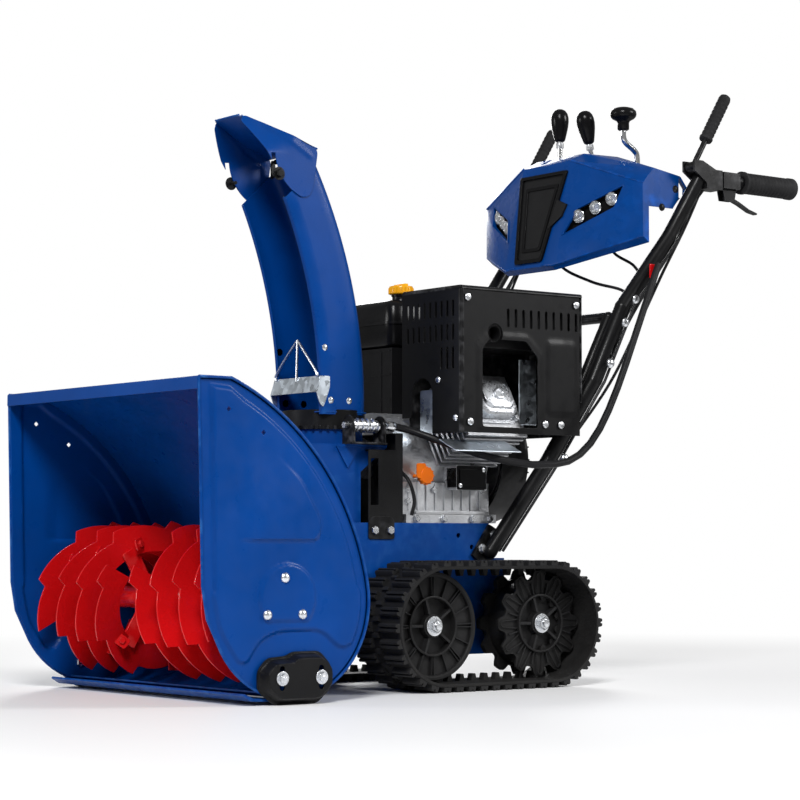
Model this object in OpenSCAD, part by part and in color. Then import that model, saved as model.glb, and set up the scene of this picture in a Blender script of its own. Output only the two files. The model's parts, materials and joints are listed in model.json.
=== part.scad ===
// Two stage snow blower on rubber tracks, in millimetres.
// +Z is up. The auger housing opens towards -Y and the operator stands at +Y, so +X is the operator's left.
// The origin is on the ground, on the machine's centre plane, straight below the auger's axis.

/* [Auger housing] */
// Width over the two side plates
housing_w = 560; // [540:10:600]
// Height of the housing's top edge above the ground
housing_h = 468; // [462:1:476]
// Height of the auger's axis above the ground
auger_z = 147; // [147:1:149]
// Outer radius of the auger ribbons
auger_r = 122; // [112:1:124]
// Thickness of the side plates and of the wrapped sheet
plate_t = 3; // [2.5:0.5:3.5]

/* [Impeller and chute] */
// Radius of the impeller blades
impeller_r = 112; // [104:1:114]
// Width of the chute's channel
chute_w = 124; // [120:1:126]
// Radius of the curve of the chute's back
chute_back_r = 800; // [780:10:840]

/* [Tracks] */
// Distance between the wheel axes of a track
wheelbase = 222; // [210:2:226]
// Width of a track belt
track_w = 118; // [110:1:118]
// Radius over the tread lugs where the belt runs round a wheel
track_r = 102; // [102:1:103]

/* [Handles] */
// Distance from the centre plane to a grip
grip_x = 225; // [222:1:230]
// Length of a rubber grip
grip_len = 128; // [110:1:130]

/* [Hidden] */
$fn = 64;

eps = 0.5;          // overlap that makes a cut run cleanly through a face
run_gap = 0.05;     // radial gap of a running fit
hole_gap = 0.1;     // radial gap of a bolt in its hole
knuckle = 1.03;     // radius of a bend's knuckle over its tube's

// Colours
blue = "#0a4a9e";
red = "#c40808";
black = "#1c1c1e";
rubber = "#2a2a2b";
steel = "#c9ccd0";
cast = "#8f9296";

// Housing section in the Y, Z plane: a round barrel behind the auger and a larger arc up to the top edge
plate_x = housing_w / 2 - plate_t;              // inner face of a side plate
barrel_c = [15, auger_z];
barrel_r = 139.5;
back_c = barrel_c - [255, 49];
back_r = norm(barrel_c - back_c) + barrel_r;
blend_a = atan2(49, 255);
top_a = asin((housing_h - back_c[1]) / back_r);
front_y = -146;
mouth_a = -110;                                 // where the wrapped sheet ends under the auger

// Bolts of the housing
bolt_r = 4;
bearing_pcr = 35.4;
skid_bolt_y = [-15, 54];
skid_bolt_z = 39;

// Impeller stage
impeller_z = auger_z + 32;
drum_r = impeller_r + 7;
drum_back_y = 245;
neck_back_y = 289;
neck_x = 78;
flange_z = 388;
chute_c = [0, 272];
collar_r = 63;
ring_r = 71;
ring_z = 412;
skirt_z = 437;       // bottom of the chute's channel
shaft_r = 12.7;
rotor_shaft_r = 9;
worm_ratio = 10;

// Chute section
channel_z = 450;
chute_back_y = 313;
chute_front_y = 225;
chute_front_r = 784;
hinge_yz = [207, 848];
hinge_lug_x = [22, 50];
hinge_pin_r = 2;
slot_r = 80;
sheet_t = 2;

// Drive
belt_y = 351;
crank_z = 370;
crank_pulley_r = 34;
impeller_pulley_r = 70;
chassis_x = 95;
chassis_top = 264;
track_x = 163;
front_axle_y = 352;
axle_z = track_r;
wheel_r = 85;
belt_in_r = 88.5;
axle_r = 10;

// Engine
cylinder_tilt = 30;
cylinder_y = 493;
guard_x = [47, 200];
guard_y = [396, 653];
guard_z = [407, 641];
guard_t = 2;

// Controls
tube_r = 12;
grip_y = 1000;
grip_z = 855;
clutch_yz = [885, 872];
clutch_a = 58;
trigger_yz = [965, 829];
speed_pivot = [-22, 802, 790];
spout_pivot = [46, 842, 790];
spout_lean = 13;
crank_xy = [100, 873];

// ---------- shape helpers ----------

function arc(c, r, a0, a1, n = 24) = [for (i = [0:n]) c + r * [cos(a0 + (a1 - a0) * i / n), sin(a0 + (a1 - a0) * i / n)]];

// A cylinder along +X, +Y or +Z from the point p
module rod_x(p, h, r) translate(p) rotate([0, 90, 0]) cylinder(h = h, r = r);
module rod_y(p, h, r) translate(p) rotate([-90, 0, 0]) cylinder(h = h, r = r);
module rod_z(p, h, r) translate(p) cylinder(h = h, r = r);

// A box between two corners
module block(a, b) translate(a) cube(b - a);

// A Y, Z outline made into a plate between two X planes
module plate_yz(x0, x1, points) translate([x0, 0, 0]) rotate([90, 0, 90]) linear_extrude(x1 - x0) polygon(points);

// A straight bar between two points
module bar(a, b, r) {
    d = b - a;
    length = norm(d);
    translate(a) rotate([0, acos(d[2] / length), atan2(d[1], d[0])]) cylinder(h = length, r = r);
}

// A tube that bends through a list of points, with a knuckle a little larger than the bars at each one
module tube(points, r) {
    for (i = [0:len(points) - 2]) bar(points[i], points[i + 1], r);
    for (p = points) translate(p) sphere(r = r * knuckle);
}

// A hex headed bolt or nut along +X, with its bearing face at p
module hex_x(p, across = 13, h = 5) translate(p) rotate([0, 90, 0]) cylinder(h = h, r = across / sqrt(3), $fn = 6);

// A worm along +Z, its thread drawn as a row of ridges
module worm(root, tip, pitch, turns) rotate_extrude() polygon(concat(
    [[0, 0]],
    [for (i = [0:turns - 1], p = [[root, 0.1], [tip, 0.4], [tip, 0.6], [root, 0.9]]) [p[0], (i + p[1]) * pitch]],
    [[0, turns * pitch]]
));

module both_sides() {
    children();
    mirror([1, 0, 0]) children();
}

// ---------- auger housing ----------

// Path of the wrapped sheet's face, set in from the side plates' edge
function wrap_path(inset) = concat(
    [[front_y + 2, housing_h - inset]],
    arc(back_c, back_r - inset, top_a, blend_a, 28),
    arc(barrel_c, barrel_r - inset, blend_a, mouth_a, 24)
);

function reversed(points) = [for (i = [len(points) - 1:-1:0]) points[i]];

side_outline = concat(
    [[front_y, housing_h]],
    arc(back_c, back_r, top_a, blend_a, 28),
    arc(barrel_c, barrel_r, blend_a, -156, 30),
    [[-130, 125], [-138, 170]]
);

module wrap_solid(inset, x) plate_yz(-x, x, concat(wrap_path(inset), [[front_y + 2, barrel_c[1]]]));

module auger_housing() color(blue) {
    outer = 1;
    difference() {
        plate_yz(-plate_x, plate_x, concat(wrap_path(outer), reversed(wrap_path(outer + plate_t))));
        rod_y([0, 0, impeller_z], 300, drum_r);
    }
    // lip angle along the top front edge
    block([-plate_x, front_y, housing_h - 16], [plate_x, front_y + 2, housing_h - outer]);
}

module side_plate() color(blue) difference() {
    union() {
        plate_yz(plate_x, plate_x + plate_t, side_outline);
        // pressed ribs on the outer face
        rib = 1.5;
        block([plate_x + 1, -40, auger_z - 37], [plate_x + plate_t + rib, 70, auger_z - 28]);
        block([plate_x + 1, -60, 250], [plate_x + plate_t + rib, 78, 262]);
    }
    for (i = [0:2])
        rod_x([plate_x - eps, bearing_pcr * sin(i * 120), auger_z + bearing_pcr * cos(i * 120)], 10,
            bolt_r + hole_gap);
    for (y = skid_bolt_y) rod_x([plate_x - eps, y, skid_bolt_z], 10, bolt_r + hole_gap);
    // square holes for an accessory bracket
    for (p = [[-96, 423], [-36, 391]]) block([plate_x - eps, p[0] - 4, p[1] - 4], [plate_x + 8, p[0] + 4, p[1] + 4]);
}

module left_side_plate() side_plate();
module right_side_plate() mirror([1, 0, 0]) side_plate();

// Wear blade screwed under the sheet's front edge
module scraper_blade() color(blue) {
    edge = barrel_c + barrel_r * [cos(mouth_a), sin(mouth_a)];
    plate_yz(-plate_x, plate_x, [
        edge + [26, -7.5], edge + [26, -11.5], edge + [-20, -9.5], edge + [-34, -1], edge + [-32, 2], edge + [-16, -5]
    ]);
}

module housing_fasteners() color(steel) {
    both_sides() {
        for (i = [0:2]) {
            y = bearing_pcr * sin(i * 120);
            z = auger_z + bearing_pcr * cos(i * 120);
            hex_x([plate_x + plate_t, y, z]);
            rod_x([plate_x - 8, y, z], 12, bolt_r);
            hex_x([plate_x - 9, y, z], 13, 5);
        }
        for (y = skid_bolt_y) {
            hex_x([housing_w / 2 + 20, y, skid_bolt_z]);
            rod_x([plate_x - 8, y, skid_bolt_z], plate_t + 30, bolt_r);
            hex_x([plate_x - 6, y, skid_bolt_z], 13, 6);
        }
    }
}

// Flanged bearings for the auger shaft and the impeller shaft
module shaft_bearings() color(cast) {
    both_sides() difference() {
        union() {
            rod_x([plate_x - 26, 0, auger_z], 26, 24);
            difference() {
                rod_x([plate_x - 4, 0, auger_z], 4, 44);
                for (i = [0:2])
                    rod_x([plate_x - 5, bearing_pcr * sin(i * 120), auger_z + bearing_pcr * cos(i * 120)], 6,
                        bolt_r + hole_gap);
            }
        }
        rod_x([plate_x - 27, 0, auger_z], 24, shaft_r + run_gap);
    }
    difference() {
        union() {
            rod_y([0, drum_back_y, impeller_z], 20, 24);
            rod_y([0, drum_back_y, impeller_z], 4, 34);
        }
        rod_y([0, drum_back_y - 1, impeller_z], 22, rotor_shaft_r + run_gap);
    }
}

module skid() color(black) {
    shoe = [
        [-19, 0], [58, 0], [83, 24], [83, 55], [60, 76], [14, 76], [4, 66], [-30, 66], [-47, 50], [-47, 24]
    ];
    difference() {
        plate_yz(housing_w / 2 + 0.5, housing_w / 2 + 20, shoe);
        // hollow towards the side plate and open at the top
        plate_yz(housing_w / 2, housing_w / 2 + 16, [
            [-17, 4], [56, 4], [79, 26], [79, 90], [-43, 90], [-43, 26]
        ]);
        // height slots
        for (y = skid_bolt_y) {
            block([housing_w / 2, y - 4.5, skid_bolt_z - 12], [housing_w / 2 + 30, y + 4.5, skid_bolt_z + 12]);
            for (dz = [-12, 12]) rod_x([housing_w / 2, y, skid_bolt_z + dz], 30, 4.5);
        }
    }
}

module left_skid() skid();
module right_skid() mirror([1, 0, 0]) skid();

// ---------- augers ----------

module gearbox_case() color(red) difference() {
    union() {
        rod_x([-26, 0, auger_z], 52, 40);
        rod_x([-33, 0, auger_z], 66, 22);
        rod_y([0, -34, impeller_z], 96, 19);
        rod_y([0, -34, impeller_z], 8, 23);
    }
    rod_x([-40, 0, auger_z], 80, shaft_r + run_gap);
    rod_x([-12, 0, auger_z], 24, 30);
    rod_y([0, -25, impeller_z], 50, 14);
    rod_y([0, -28, impeller_z], 100, rotor_shaft_r + run_gap);
}

pin_x = 60;         // distance of a shear pin from the centre plane
pin_r = 3;

module auger_shaft() color(steel) {
    difference() {
        rod_x([-plate_x + 6, 0, auger_z], 2 * plate_x - 12, shaft_r);
        for (s = [-1, 1]) rod_z([s * pin_x, 0, auger_z - 30], 60, pin_r + hole_gap);
    }
    // shear pins with their heads
    for (s = [-1, 1]) {
        rod_z([s * pin_x, 0, auger_z - 24], 48, pin_r);
        rod_z([s * pin_x, 0, auger_z + 18], 4, 5.5);
    }
}

ribbon_pitch = 180;
ribbon_in = 76;
sleeve_r = 17;
auger_in_x = 40;
auger_out_x = plate_x - 30;
spider_at = [0.2, 0.82];     // shares of the sleeve's length

// One helical ribbon of sheet, swept about +Z
module ribbon(length, start) {
    width_a = 7;
    rotate(start) linear_extrude(length, twist = -360 * length / ribbon_pitch, slices = 22, $fn = 4)
        polygon(concat(arc([0, 0], auger_r, 0, width_a, 1), arc([0, 0], ribbon_in, width_a, 0, 1)));
}

// Three ribbons on a sleeve, held by two three-armed spiders; made along +Z and laid along +X
module auger() color(red) translate([auger_in_x, 0, auger_z]) rotate([0, 90, 0]) difference() {
    length = auger_out_x - auger_in_x;
    union() {
        cylinder(h = length, r = sleeve_r);
        for (i = [0:2]) ribbon(length, i * 120);
        for (z = spider_at, i = [0:2])
            rotate(i * 120 + 360 * z * length / ribbon_pitch + 3)
                translate([sleeve_r - 2, -14, z * length - 2]) cube([ribbon_in + 10 - sleeve_r, 28, 4]);
    }
    translate([0, 0, -1]) cylinder(h = length + 2, r = shaft_r + run_gap);
    translate([-30, 0, pin_x - auger_in_x]) rotate([0, 90, 0]) cylinder(h = 60, r = pin_r + hole_gap);
}

module left_auger() auger();
module right_auger() mirror([1, 0, 0]) auger();

module worm_wheel() color("#b08d4a") difference() {
    union() {
        rod_x([-7, 0, auger_z], 14, 20.5);
        for (i = [0:19])
            translate([0, 0, auger_z]) rotate([i * 18, 0, 0]) block([-7, -1.6, 19], [7, 1.6, 22.4]);
    }
    rod_x([-8, 0, auger_z], 16, shaft_r + run_gap);
}

// ---------- impeller ----------

impeller_y = [160, 236];

module impeller() color(red) difference() {
    union() {
        rod_y([0, impeller_y[0] + 4, impeller_z], impeller_y[1] - impeller_y[0] - 4, 20);
        // back disc and four blades with bent tips
        rod_y([0, impeller_y[1] - 8, impeller_z], 4, 60);
        for (i = [0:3]) translate([0, 0, impeller_z]) rotate([0, i * 90 + 20, 0]) {
            block([16, impeller_y[0], -2], [impeller_r - 6, impeller_y[1] - 4, 2]);
            translate([impeller_r - 8, 0, 0]) rotate([0, -35, 0])
                block([0, impeller_y[0] + 6, -2], [7, impeller_y[1] - 8, 18]);
        }
    }
    rod_y([0, 100, impeller_z], 200, rotor_shaft_r + run_gap);
}

module impeller_shaft() color(steel) {
    rod_y([0, -26, impeller_z], belt_y + 26 + 14, rotor_shaft_r - 2.2);
    rod_y([0, 26, impeller_z], belt_y - 26 + 8, rotor_shaft_r);
    // worm on the shaft's front end
    translate([0, -22, impeller_z]) rotate([-90, 0, 0]) worm(7.5, 9, 11, 4);
}

// A grooved pulley on a shaft along +Y, centred on the belt's plane
module pulley(z, r, bore) translate([0, belt_y, z]) rotate([-90, 0, 0]) difference() {
    rotate_extrude() polygon([
        [0, -8], [r, -8], [r, -6], [r - 9, -2.5], [r - 9, 2.5], [r, 6], [r, 8], [0, 8]
    ]);
    translate([0, 0, -10]) cylinder(h = 20, r = bore);
}

module impeller_pulley() color(cast) pulley(impeller_z, impeller_pulley_r, rotor_shaft_r + run_gap);

module crankshaft() color(cast) {
    rod_y([0, belt_y - 9, crank_z], 270, 9.5);
    pulley(crank_z, crank_pulley_r, 9.5 + run_gap);
    // flywheel behind the block
    difference() {
        rod_y([0, 572, crank_z], 20, 84);
        rod_y([0, 571, crank_z], 22, 9.5 + run_gap);
    }
}

// Outline of the belt round both pulley grooves, in the X, Z plane
module belt_loop(grow) hull() {
    translate([0, crank_z]) circle(r = crank_pulley_r - 8.6 + grow, $fn = 48);
    translate([0, impeller_z]) circle(r = impeller_pulley_r - 8.6 + grow, $fn = 48);
}

module drive_belts() color(rubber) translate([0, belt_y + 2, 0]) rotate([90, 0, 0]) linear_extrude(4) difference() {
    belt_loop(7);
    belt_loop(0);
}

module impeller_housing() color(blue) {
    wall = 3;
    difference() {
        union() {
            rod_y([0, 60, impeller_z], drum_back_y - 60, drum_r + wall);
            plate_yz(-neck_x, neck_x, [
                [30, impeller_z], [drum_back_y, impeller_z], [drum_back_y, chassis_top], [neck_back_y, chassis_top],
                [neck_back_y, 345], [342, flange_z - wall], [342, flange_z], [30, flange_z]
            ]);
            rod_z([chute_c[0], chute_c[1], flange_z - 4], 4, 84);
            rod_z([chute_c[0], chute_c[1], flange_z - 4], 44, collar_r);
        }
        // inside of the housing, of the drum, of the neck and of the collar
        wrap_solid(1, plate_x);
        rod_y([0, 0, impeller_z], drum_back_y - wall, drum_r);
        plate_yz(-neck_x + wall, neck_x - wall, [
            [0, impeller_z], [drum_back_y - wall, impeller_z], [drum_back_y - wall, chassis_top + wall],
            [neck_back_y - wall, chassis_top + wall], [neck_back_y - wall, 346], [334, flange_z - 5], [0, flange_z - 5]
        ]);
        rod_z([chute_c[0], chute_c[1], flange_z - 8], 60, collar_r - wall);
        rod_y([0, drum_back_y - 10, impeller_z], 20, rotor_shaft_r + 3);
        // flat at the rear, clear of the belt
        block([-100, belt_y - 9.5, 300], [100, belt_y + 20, flange_z + 10]);
    }
    // V gussets under the flange
    both_sides() translate([neck_x, 262, flange_z - 4])
        rotate([0, 90, 0]) linear_extrude(3) polygon([[0, -22], [34, 0], [0, 22]]);
}

// ---------- chute ----------

// Height by height, the curve of the chute's back and front edges in the Y, Z plane
function chute_back(a0, a1, inset) =
    arc([chute_back_y - chute_back_r, channel_z], chute_back_r - inset, a0, a1, 14);
function chute_front(a0, a1, grow) =
    arc([chute_front_y - chute_front_r, channel_z], chute_front_r + grow, a0, a1, 14);

module chute_form(x, inset) plate_yz(-x, x, concat(
    [[chute_back_y - inset, skirt_z], [chute_back_y - inset, channel_z]],
    chute_back(0, 28.6, inset),
    reversed(chute_front(0, 24.5, 0)),
    [[chute_front_y, channel_z], [chute_front_y, skirt_z]]
));

module chute() color(blue) {
    // channel, open towards the front
    difference() {
        chute_form(chute_w / 2, 0);
        translate([0, -0.01, 0]) chute_form(chute_w / 2 - sheet_t, sheet_t);
        // holes of the deflector's clamp bolts
        rod_x([-chute_w, hinge_yz[0] + slot_r * cos(209), hinge_yz[1] + slot_r * sin(209)], 2 * chute_w,
            3 + hole_gap);
    }
    // turning ring with its gear teeth round the collar
    difference() {
        union() {
            rod_z([chute_c[0], chute_c[1], ring_z], skirt_z + 6 - ring_z, ring_r - 4);
            for (i = [0:35]) translate([chute_c[0], chute_c[1], ring_z]) rotate(i * 10)
                block([ring_r - 6, -2.5, 0], [ring_r, 2.5, 6]);
        }
        rod_z([chute_c[0], chute_c[1], ring_z - 1], 50, collar_r + 0.6);
    }
    // hinge lugs and pins at the top of the back
    both_sides() {
        for (x = hinge_lug_x) plate_yz(x, x + 3, [
            [205, 822], [213, 826], hinge_yz + [4, -2], hinge_yz + [3, 3], hinge_yz + [-3, 3], hinge_yz + [-4, -3]
        ]);
        rod_x([hinge_lug_x[0], hinge_yz[0], hinge_yz[1]], hinge_lug_x[1] - hinge_lug_x[0], hinge_pin_r);
    }
    // round bolt heads on the channel's sides
    both_sides() for (p = [[229, 541], [241, 458], [277, 458]]) rod_x([chute_w / 2, p[0], p[1]], 3, 5.5);
}

// Galvanised brace and rods across the chute's open front, and the deflector's clamp bolts
module chute_brace() color(steel) {
    y = chute_front_y;
    plate_yz(-chute_w / 2 - 2, chute_w / 2 + 2, [[y - 13, 470], [y - 11.5, 470], [y - 3, 496], [y - 4.5, 496]]);
    both_sides() {
        plate_yz(chute_w / 2, chute_w / 2 + 2, [[y - 13, 470], [y - 3, 496], [y + 4, 496], [y + 4, 462], [y, 450]]);
        bar([chute_w / 2 - 6, y - 7, 497], [8, y - 5, 552], 2.5);
        slot_p = hinge_yz + slot_r * [cos(209), sin(209)];
        rod_x([chute_w / 2 - sheet_t - 6, slot_p[0], slot_p[1]], 16, 3);
        rod_x([chute_w / 2 + 5.2, slot_p[0], slot_p[1]], 4, 7);
    }
}

// Hood over the chute's mouth; its side slots ride on the clamp bolts
module deflector() color(blue) {
    x_in = chute_w / 2 + 1;
    x_out = x_in + 2;
    side = [hinge_yz + [6, 2], [101, 905], [98, 843], [150, 792], [186, 778], [200, 788]];
    difference() {
        union() {
            both_sides() plate_yz(x_in, x_out, side);
            plate_yz(-x_out, x_out, [hinge_yz + [4, 4], [101, 905], [100, 902], hinge_yz + [1, 0]]);
            both_sides() rod_x([hinge_lug_x[0] + 4, hinge_yz[0], hinge_yz[1]], 23, 4.5);
        }
        // slot that follows the hinge's circle
        both_sides() for (a = [188:3:248])
            rod_x([x_in - 1, hinge_yz[0] + slot_r * cos(a), hinge_yz[1] + slot_r * sin(a)], 4, 4);
        // hinge bore and room for the lugs
        both_sides() {
            rod_x([0, hinge_yz[0], hinge_yz[1]], x_out + 1, hinge_pin_r + run_gap);
            for (x = hinge_lug_x) rod_x([x - 0.5, hinge_yz[0], hinge_yz[1]], 4, 8);
        }
    }
}

// Bent bracket on the flange that holds the chute's worm
worm_x = ring_r + 14;
worm_y = [262, 316];
worm_z = ring_z + 6;

module worm_bracket() color(black) difference() {
    union() {
        block([neck_x - 2, worm_y[0] - 8, flange_z], [worm_x + 18, worm_y[1] + 8, flange_z + 3]);
        for (y = [worm_y[0] - 5, worm_y[1] + 2]) {
            block([worm_x - 13, y, flange_z], [worm_x + 18, y + 3, worm_z]);
            rod_y([worm_x + 2, y, worm_z], 3, 15.5);
        }
    }
    rod_y([worm_x, worm_y[0] - 20, worm_z], 100, 5 + run_gap);
    rod_z([chute_c[0], chute_c[1], flange_z - 1], 60, ring_r + 1);
}

module chute_worm() color(steel) {
    rod_y([worm_x, worm_y[0] - 12, worm_z], worm_y[1] - worm_y[0] + 34, 5);
    translate([worm_x, worm_y[0], worm_z]) rotate([-90, 0, 0]) worm(9, 13, (worm_y[1] - worm_y[0]) / 5, 5);
    // knuckle that takes the flexible shaft
    rod_y([worm_x, worm_y[1] + 6, worm_z], 26, 7.5);
}

// ---------- chassis and tracks ----------

chassis_side = [
    [drum_back_y, chassis_top], [540, chassis_top], [508, 207], [572, 207], [572, 51], [342, 51], [342, 100],
    [drum_back_y, 100]
];

module chassis_frame() color(blue) difference() {
    plate_yz(-chassis_x, chassis_x, chassis_side);
    wall = 3;
    plate_yz(-chassis_x + wall, chassis_x - wall, [
        [drum_back_y - 1, chassis_top - wall], [536, chassis_top - wall], [504, 204], [569, 204], [569, 54], [345, 54],
        [345, 103], [drum_back_y - 1, 103]
    ]);
    // belt opening in the top, axle holes in the sides
    block([-60, 330, chassis_top - 10], [60, 366, chassis_top + 5]);
    for (y = [front_axle_y, front_axle_y + wheelbase])
        rod_x([-chassis_x - 5, y, axle_z], 2 * chassis_x + 10, axle_r + hole_gap);
    for (p = [[475, 244], [503, 225]]) rod_x([chassis_x - 10, p[0], p[1]], 20, 4);
}

module belt_cover() color(black) difference() {
    wall = 2;
    plate_yz(-chassis_x, chassis_x, [
        [292, chassis_top], [292, 380], [346, 380], [346, 407], [361, 407], [361, chassis_top]
    ]);
    // open at the front and below, with a notch for the chute's neck
    plate_yz(-chassis_x + wall, chassis_x - wall, [
        [290, chassis_top - 1], [290, 377], [342, 377], [342, 405], [359, 405], [359, chassis_top - 1]
    ]);
    block([-neck_x - 8, 280, 330], [neck_x + 8, 344.5, 400]);
    rod_y([0, 355, crank_z], 10, 14);
    // side window
    block([-chassis_x - 1, 297, 292], [chassis_x + 1, 312, 366]);
}

// Wheel inside a track: a ribbed disc on a hub, with a middle groove for the belt's guide lugs
module track_wheel(y) color(black) translate([0, y, axle_z]) difference() {
    union() {
        rod_x([track_x - 40, 0, 0], 62, 30);
        for (x = [track_x - 40, track_x + 12]) rod_x([x, 0, 0], 10, wheel_r);
        rod_x([track_x - 40, 0, 0], 62, 68);
        for (i = [0:11]) rotate([i * 30, 0, 0]) block([track_x + 18, -3, 40], [track_x + 26, 3, wheel_r - 4]);
    }
    // dish round the hub on the outer face
    difference() {
        rod_x([track_x + 8, 0, 0], 20, 44);
        rod_x([track_x + 7, 0, 0], 22, 18);
        for (i = [0:4]) rotate([i * 72, 0, 0]) block([track_x, -2, 0], [track_x + 20, 2, 46]);
    }
    rod_x([track_x - 50, 0, 0], 90, axle_r + run_gap);
}

module left_front_wheel() track_wheel(front_axle_y);
module left_rear_wheel() track_wheel(front_axle_y + wheelbase);
module right_front_wheel() mirror([1, 0, 0]) track_wheel(front_axle_y);
module right_rear_wheel() mirror([1, 0, 0]) track_wheel(front_axle_y + wheelbase);

// Stadium shaped solid round both wheels
module track_form(r, x0, x1) plate_yz(x0, x1, concat(
    arc([front_axle_y + wheelbase, axle_z], r, -90, 90, 26),
    arc([front_axle_y, axle_z], r, 90, 270, 26)
));

module track_belt() color(rubber) {
    x0 = track_x + 59 - track_w;
    x1 = track_x + 59;
    carcass_r = track_r - 8;
    difference() {
        track_form(carcass_r, x0, x1);
        track_form(belt_in_r, x0 - 1, x1 + 1);
    }
    // tread lugs: along both runs, then round both wheels
    lug = 9;
    count = 9;
    step = wheelbase / count;
    for (i = [0:count], s = [-1, 1])
        translate([0, front_axle_y + i * step, axle_z])
            block([x0, -lug / 2, s > 0 ? carcass_r - 1 : -track_r], [x1, lug / 2, s > 0 ? track_r : -carcass_r + 1]);
    for (e = [0, 1], i = [1:12])
        translate([0, front_axle_y + e * wheelbase, axle_z])
            rotate([(e == 0 ? 0 : 180) + i * 180 / 13, 0, 0])
                block([x0, -lug / 2, carcass_r - 1], [x1, lug / 2, track_r]);
    // guide lugs on the inside of the two straight runs
    for (i = [0:count - 1], s = [-1, 1])
        translate([0, front_axle_y + (i + 0.5) * step, axle_z])
            block([track_x - 8, -5, s > 0 ? 77 : -belt_in_r - 1], [track_x - 1, 5, s > 0 ? belt_in_r + 1 : -77]);
}

module track_belts() both_sides() track_belt();

// Bolts of the chassis, the wheel axles and their nuts
module frame_fasteners() color(steel) both_sides() {
    for (y = [front_axle_y, front_axle_y + wheelbase]) {
        rod_x([chassis_x - 8, y, axle_z], track_x + 30 - chassis_x + 8, axle_r);
        rod_x([track_x + 23, y, axle_z], 2, 15);
        hex_x([track_x + 25, y, axle_z], 19, 8);
    }
    for (p = [[302, 252], [333, 252]]) {
        hex_x([chassis_x, p[0], p[1]]);
    }
}

// ---------- engine ----------

module engine_block() color(cast) difference() {
    union() {
        block([-90, 371, chassis_top], [90, 559, chassis_top + 14]);
        block([-74, 366, chassis_top + 14], [74, 556, 330]);
        rod_y([0, 366, crank_z], 190, 74);
        // cooling fins of the crankcase and the barrel
        translate([0, cylinder_y, crank_z]) rotate([0, -cylinder_tilt, 0]) {
            block([0, -48, -48], [140, 48, 48]);
            for (i = [0:5]) block([76 + i * 11, -62, -60], [80 + i * 11, 62, 60]);
        }
        // ignition module on the side
        block([60, 467, 318], [100, 530, 358]);
    }
    rod_y([0, 300, crank_z], 400, 9.5 + run_gap);
    rod_x([40, 405, 340], 80, 3.2);
}

// Places its children on the cylinder's axis, with +X out along the axis
module on_cylinder() translate([0, cylinder_y, crank_z]) rotate([0, -cylinder_tilt, 0]) children();

module cylinder_head() color(cast) on_cylinder() {
    block([140, -50, -46], [176, 50, 46]);
    for (i = [0:2]) block([143 + i * 11, -62, -58], [147 + i * 11, 62, 58]);
}

module rocker_cover() color(steel) on_cylinder() {
    block([176, -46, -40], [180, 46, 40]);
    block([180, -40, -34], [196, 40, 34]);
    block([196, -30, -24], [203, 30, 24]);
    rod_x([203, 0, 0], 4, 9);
}

module heat_shield() color(steel) {
    translate([205, 440, 380]) rotate([0, 24, 0]) block([-38, -66, -1], [8, 70, 1]);
    block([164, 545, 424], [166, 582, 530]);
}

module muffler() color(black) difference() {
    union() {
        block([66, 424, 545], [176, 630, 630]);
        rod_x([170, 468, 567], 26, 14);
    }
    block([68, 426, 547], [174, 628, 628]);
    rod_x([172, 468, 567], 30, 11);
}

module muffler_guard() color(black) difference() {
    a = [guard_x[0], guard_y[0], guard_z[0]];
    b = [guard_x[1], guard_y[1], guard_z[1]];
    block(a, b);
    block(a + [-1, guard_t, -1], b - [guard_t, guard_t, guard_t]);
    // vent slots: three rows in front, one row on the outer side
    for (row = [0:1], i = [0:8]) block([60 + i * 14.6, a[1] - 1, 592 - row * 38], [65 + i * 14.6, a[1] + 5, 618 - row * 38]);
    for (i = [0:2]) block([147 + i * 14.6, a[1] - 1, 508], [152 + i * 14.6, a[1] + 5, 544]);
    for (i = [0:9]) block([b[0] - 5, 493 + i * 16.2, 578], [b[0] + 1, 498 + i * 16.2, 608]);
    // window for the cylinder head, opening for the exhaust pipe, arch over the shaft side
    block([b[0] - 5, 441, 400], [b[0] + 1, 557, 557]);
    rod_x([b[0] - 5, 468, 567], 10, 15);
    block([73, a[1] - 1, 400], [125, a[1] + 5, 470]);
    rod_y([99, a[1] - 1, 470], 6, 27);
    block([a[0] - 1, a[1] - 1, 400], [74, a[1] + 5, 434]);
    // gap in the rear wall for the handle tube
    block([130, b[1] - 5, 400], [b[0] - guard_t, b[1] + 1, 460]);
}

module fuel_tank() color(black) {
    block([-205, 440, 560], [-38, 600, 640]);
    rod_z([-62, 478, 640], 14, 15);
}

module fuel_cap() color("#f2a900") difference() {
    rod_z([-62, 478, 650], 15, 21);
    rod_z([-62, 478, 649], 5.5, 15 + hole_gap);
}

module air_box() color(black) {
    block([-205, 440, 436], [-38, 558, 558]);
    block([-150, 500, 400], [-68, 556, 437]);
}

module recoil_housing() color(black) difference() {
    union() {
        rod_y([0, 562, crank_z], 56, 104);
        rod_y([0, 618, crank_z], 14, 78);
    }
    rod_y([0, 555, crank_z], 60, 100);
    rod_y([0, 614, crank_z], 15, 74);
    for (i = [0:17]) translate([0, 0, crank_z]) rotate([0, i * 20, 0]) block([30, 610, -3], [66, 640, 3]);
}

module recoil_handle() color(black) {
    rod_y([-75, 619, crank_z + 60], 20, 6);
    rod_x([-101, 645, crank_z + 60], 52, 8);
}

module dipstick() color("#f07a10") {
    rod_x([44, 405, 340], 50, 3);
    rod_x([92, 405, 340], 12, 14);
    block([98, 384, 336], [101, 404, 360]);
}

// ---------- handles and controls ----------

handle_path = [
    [108, 531, 218], [150, 614, 360], [178, 695, 500], [194, 747, 626], [206, 846, 752], [grip_x, 900, grip_z - 2],
    [grip_x, 925, grip_z], [grip_x, grip_y + grip_len - 20, grip_z]
];

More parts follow.
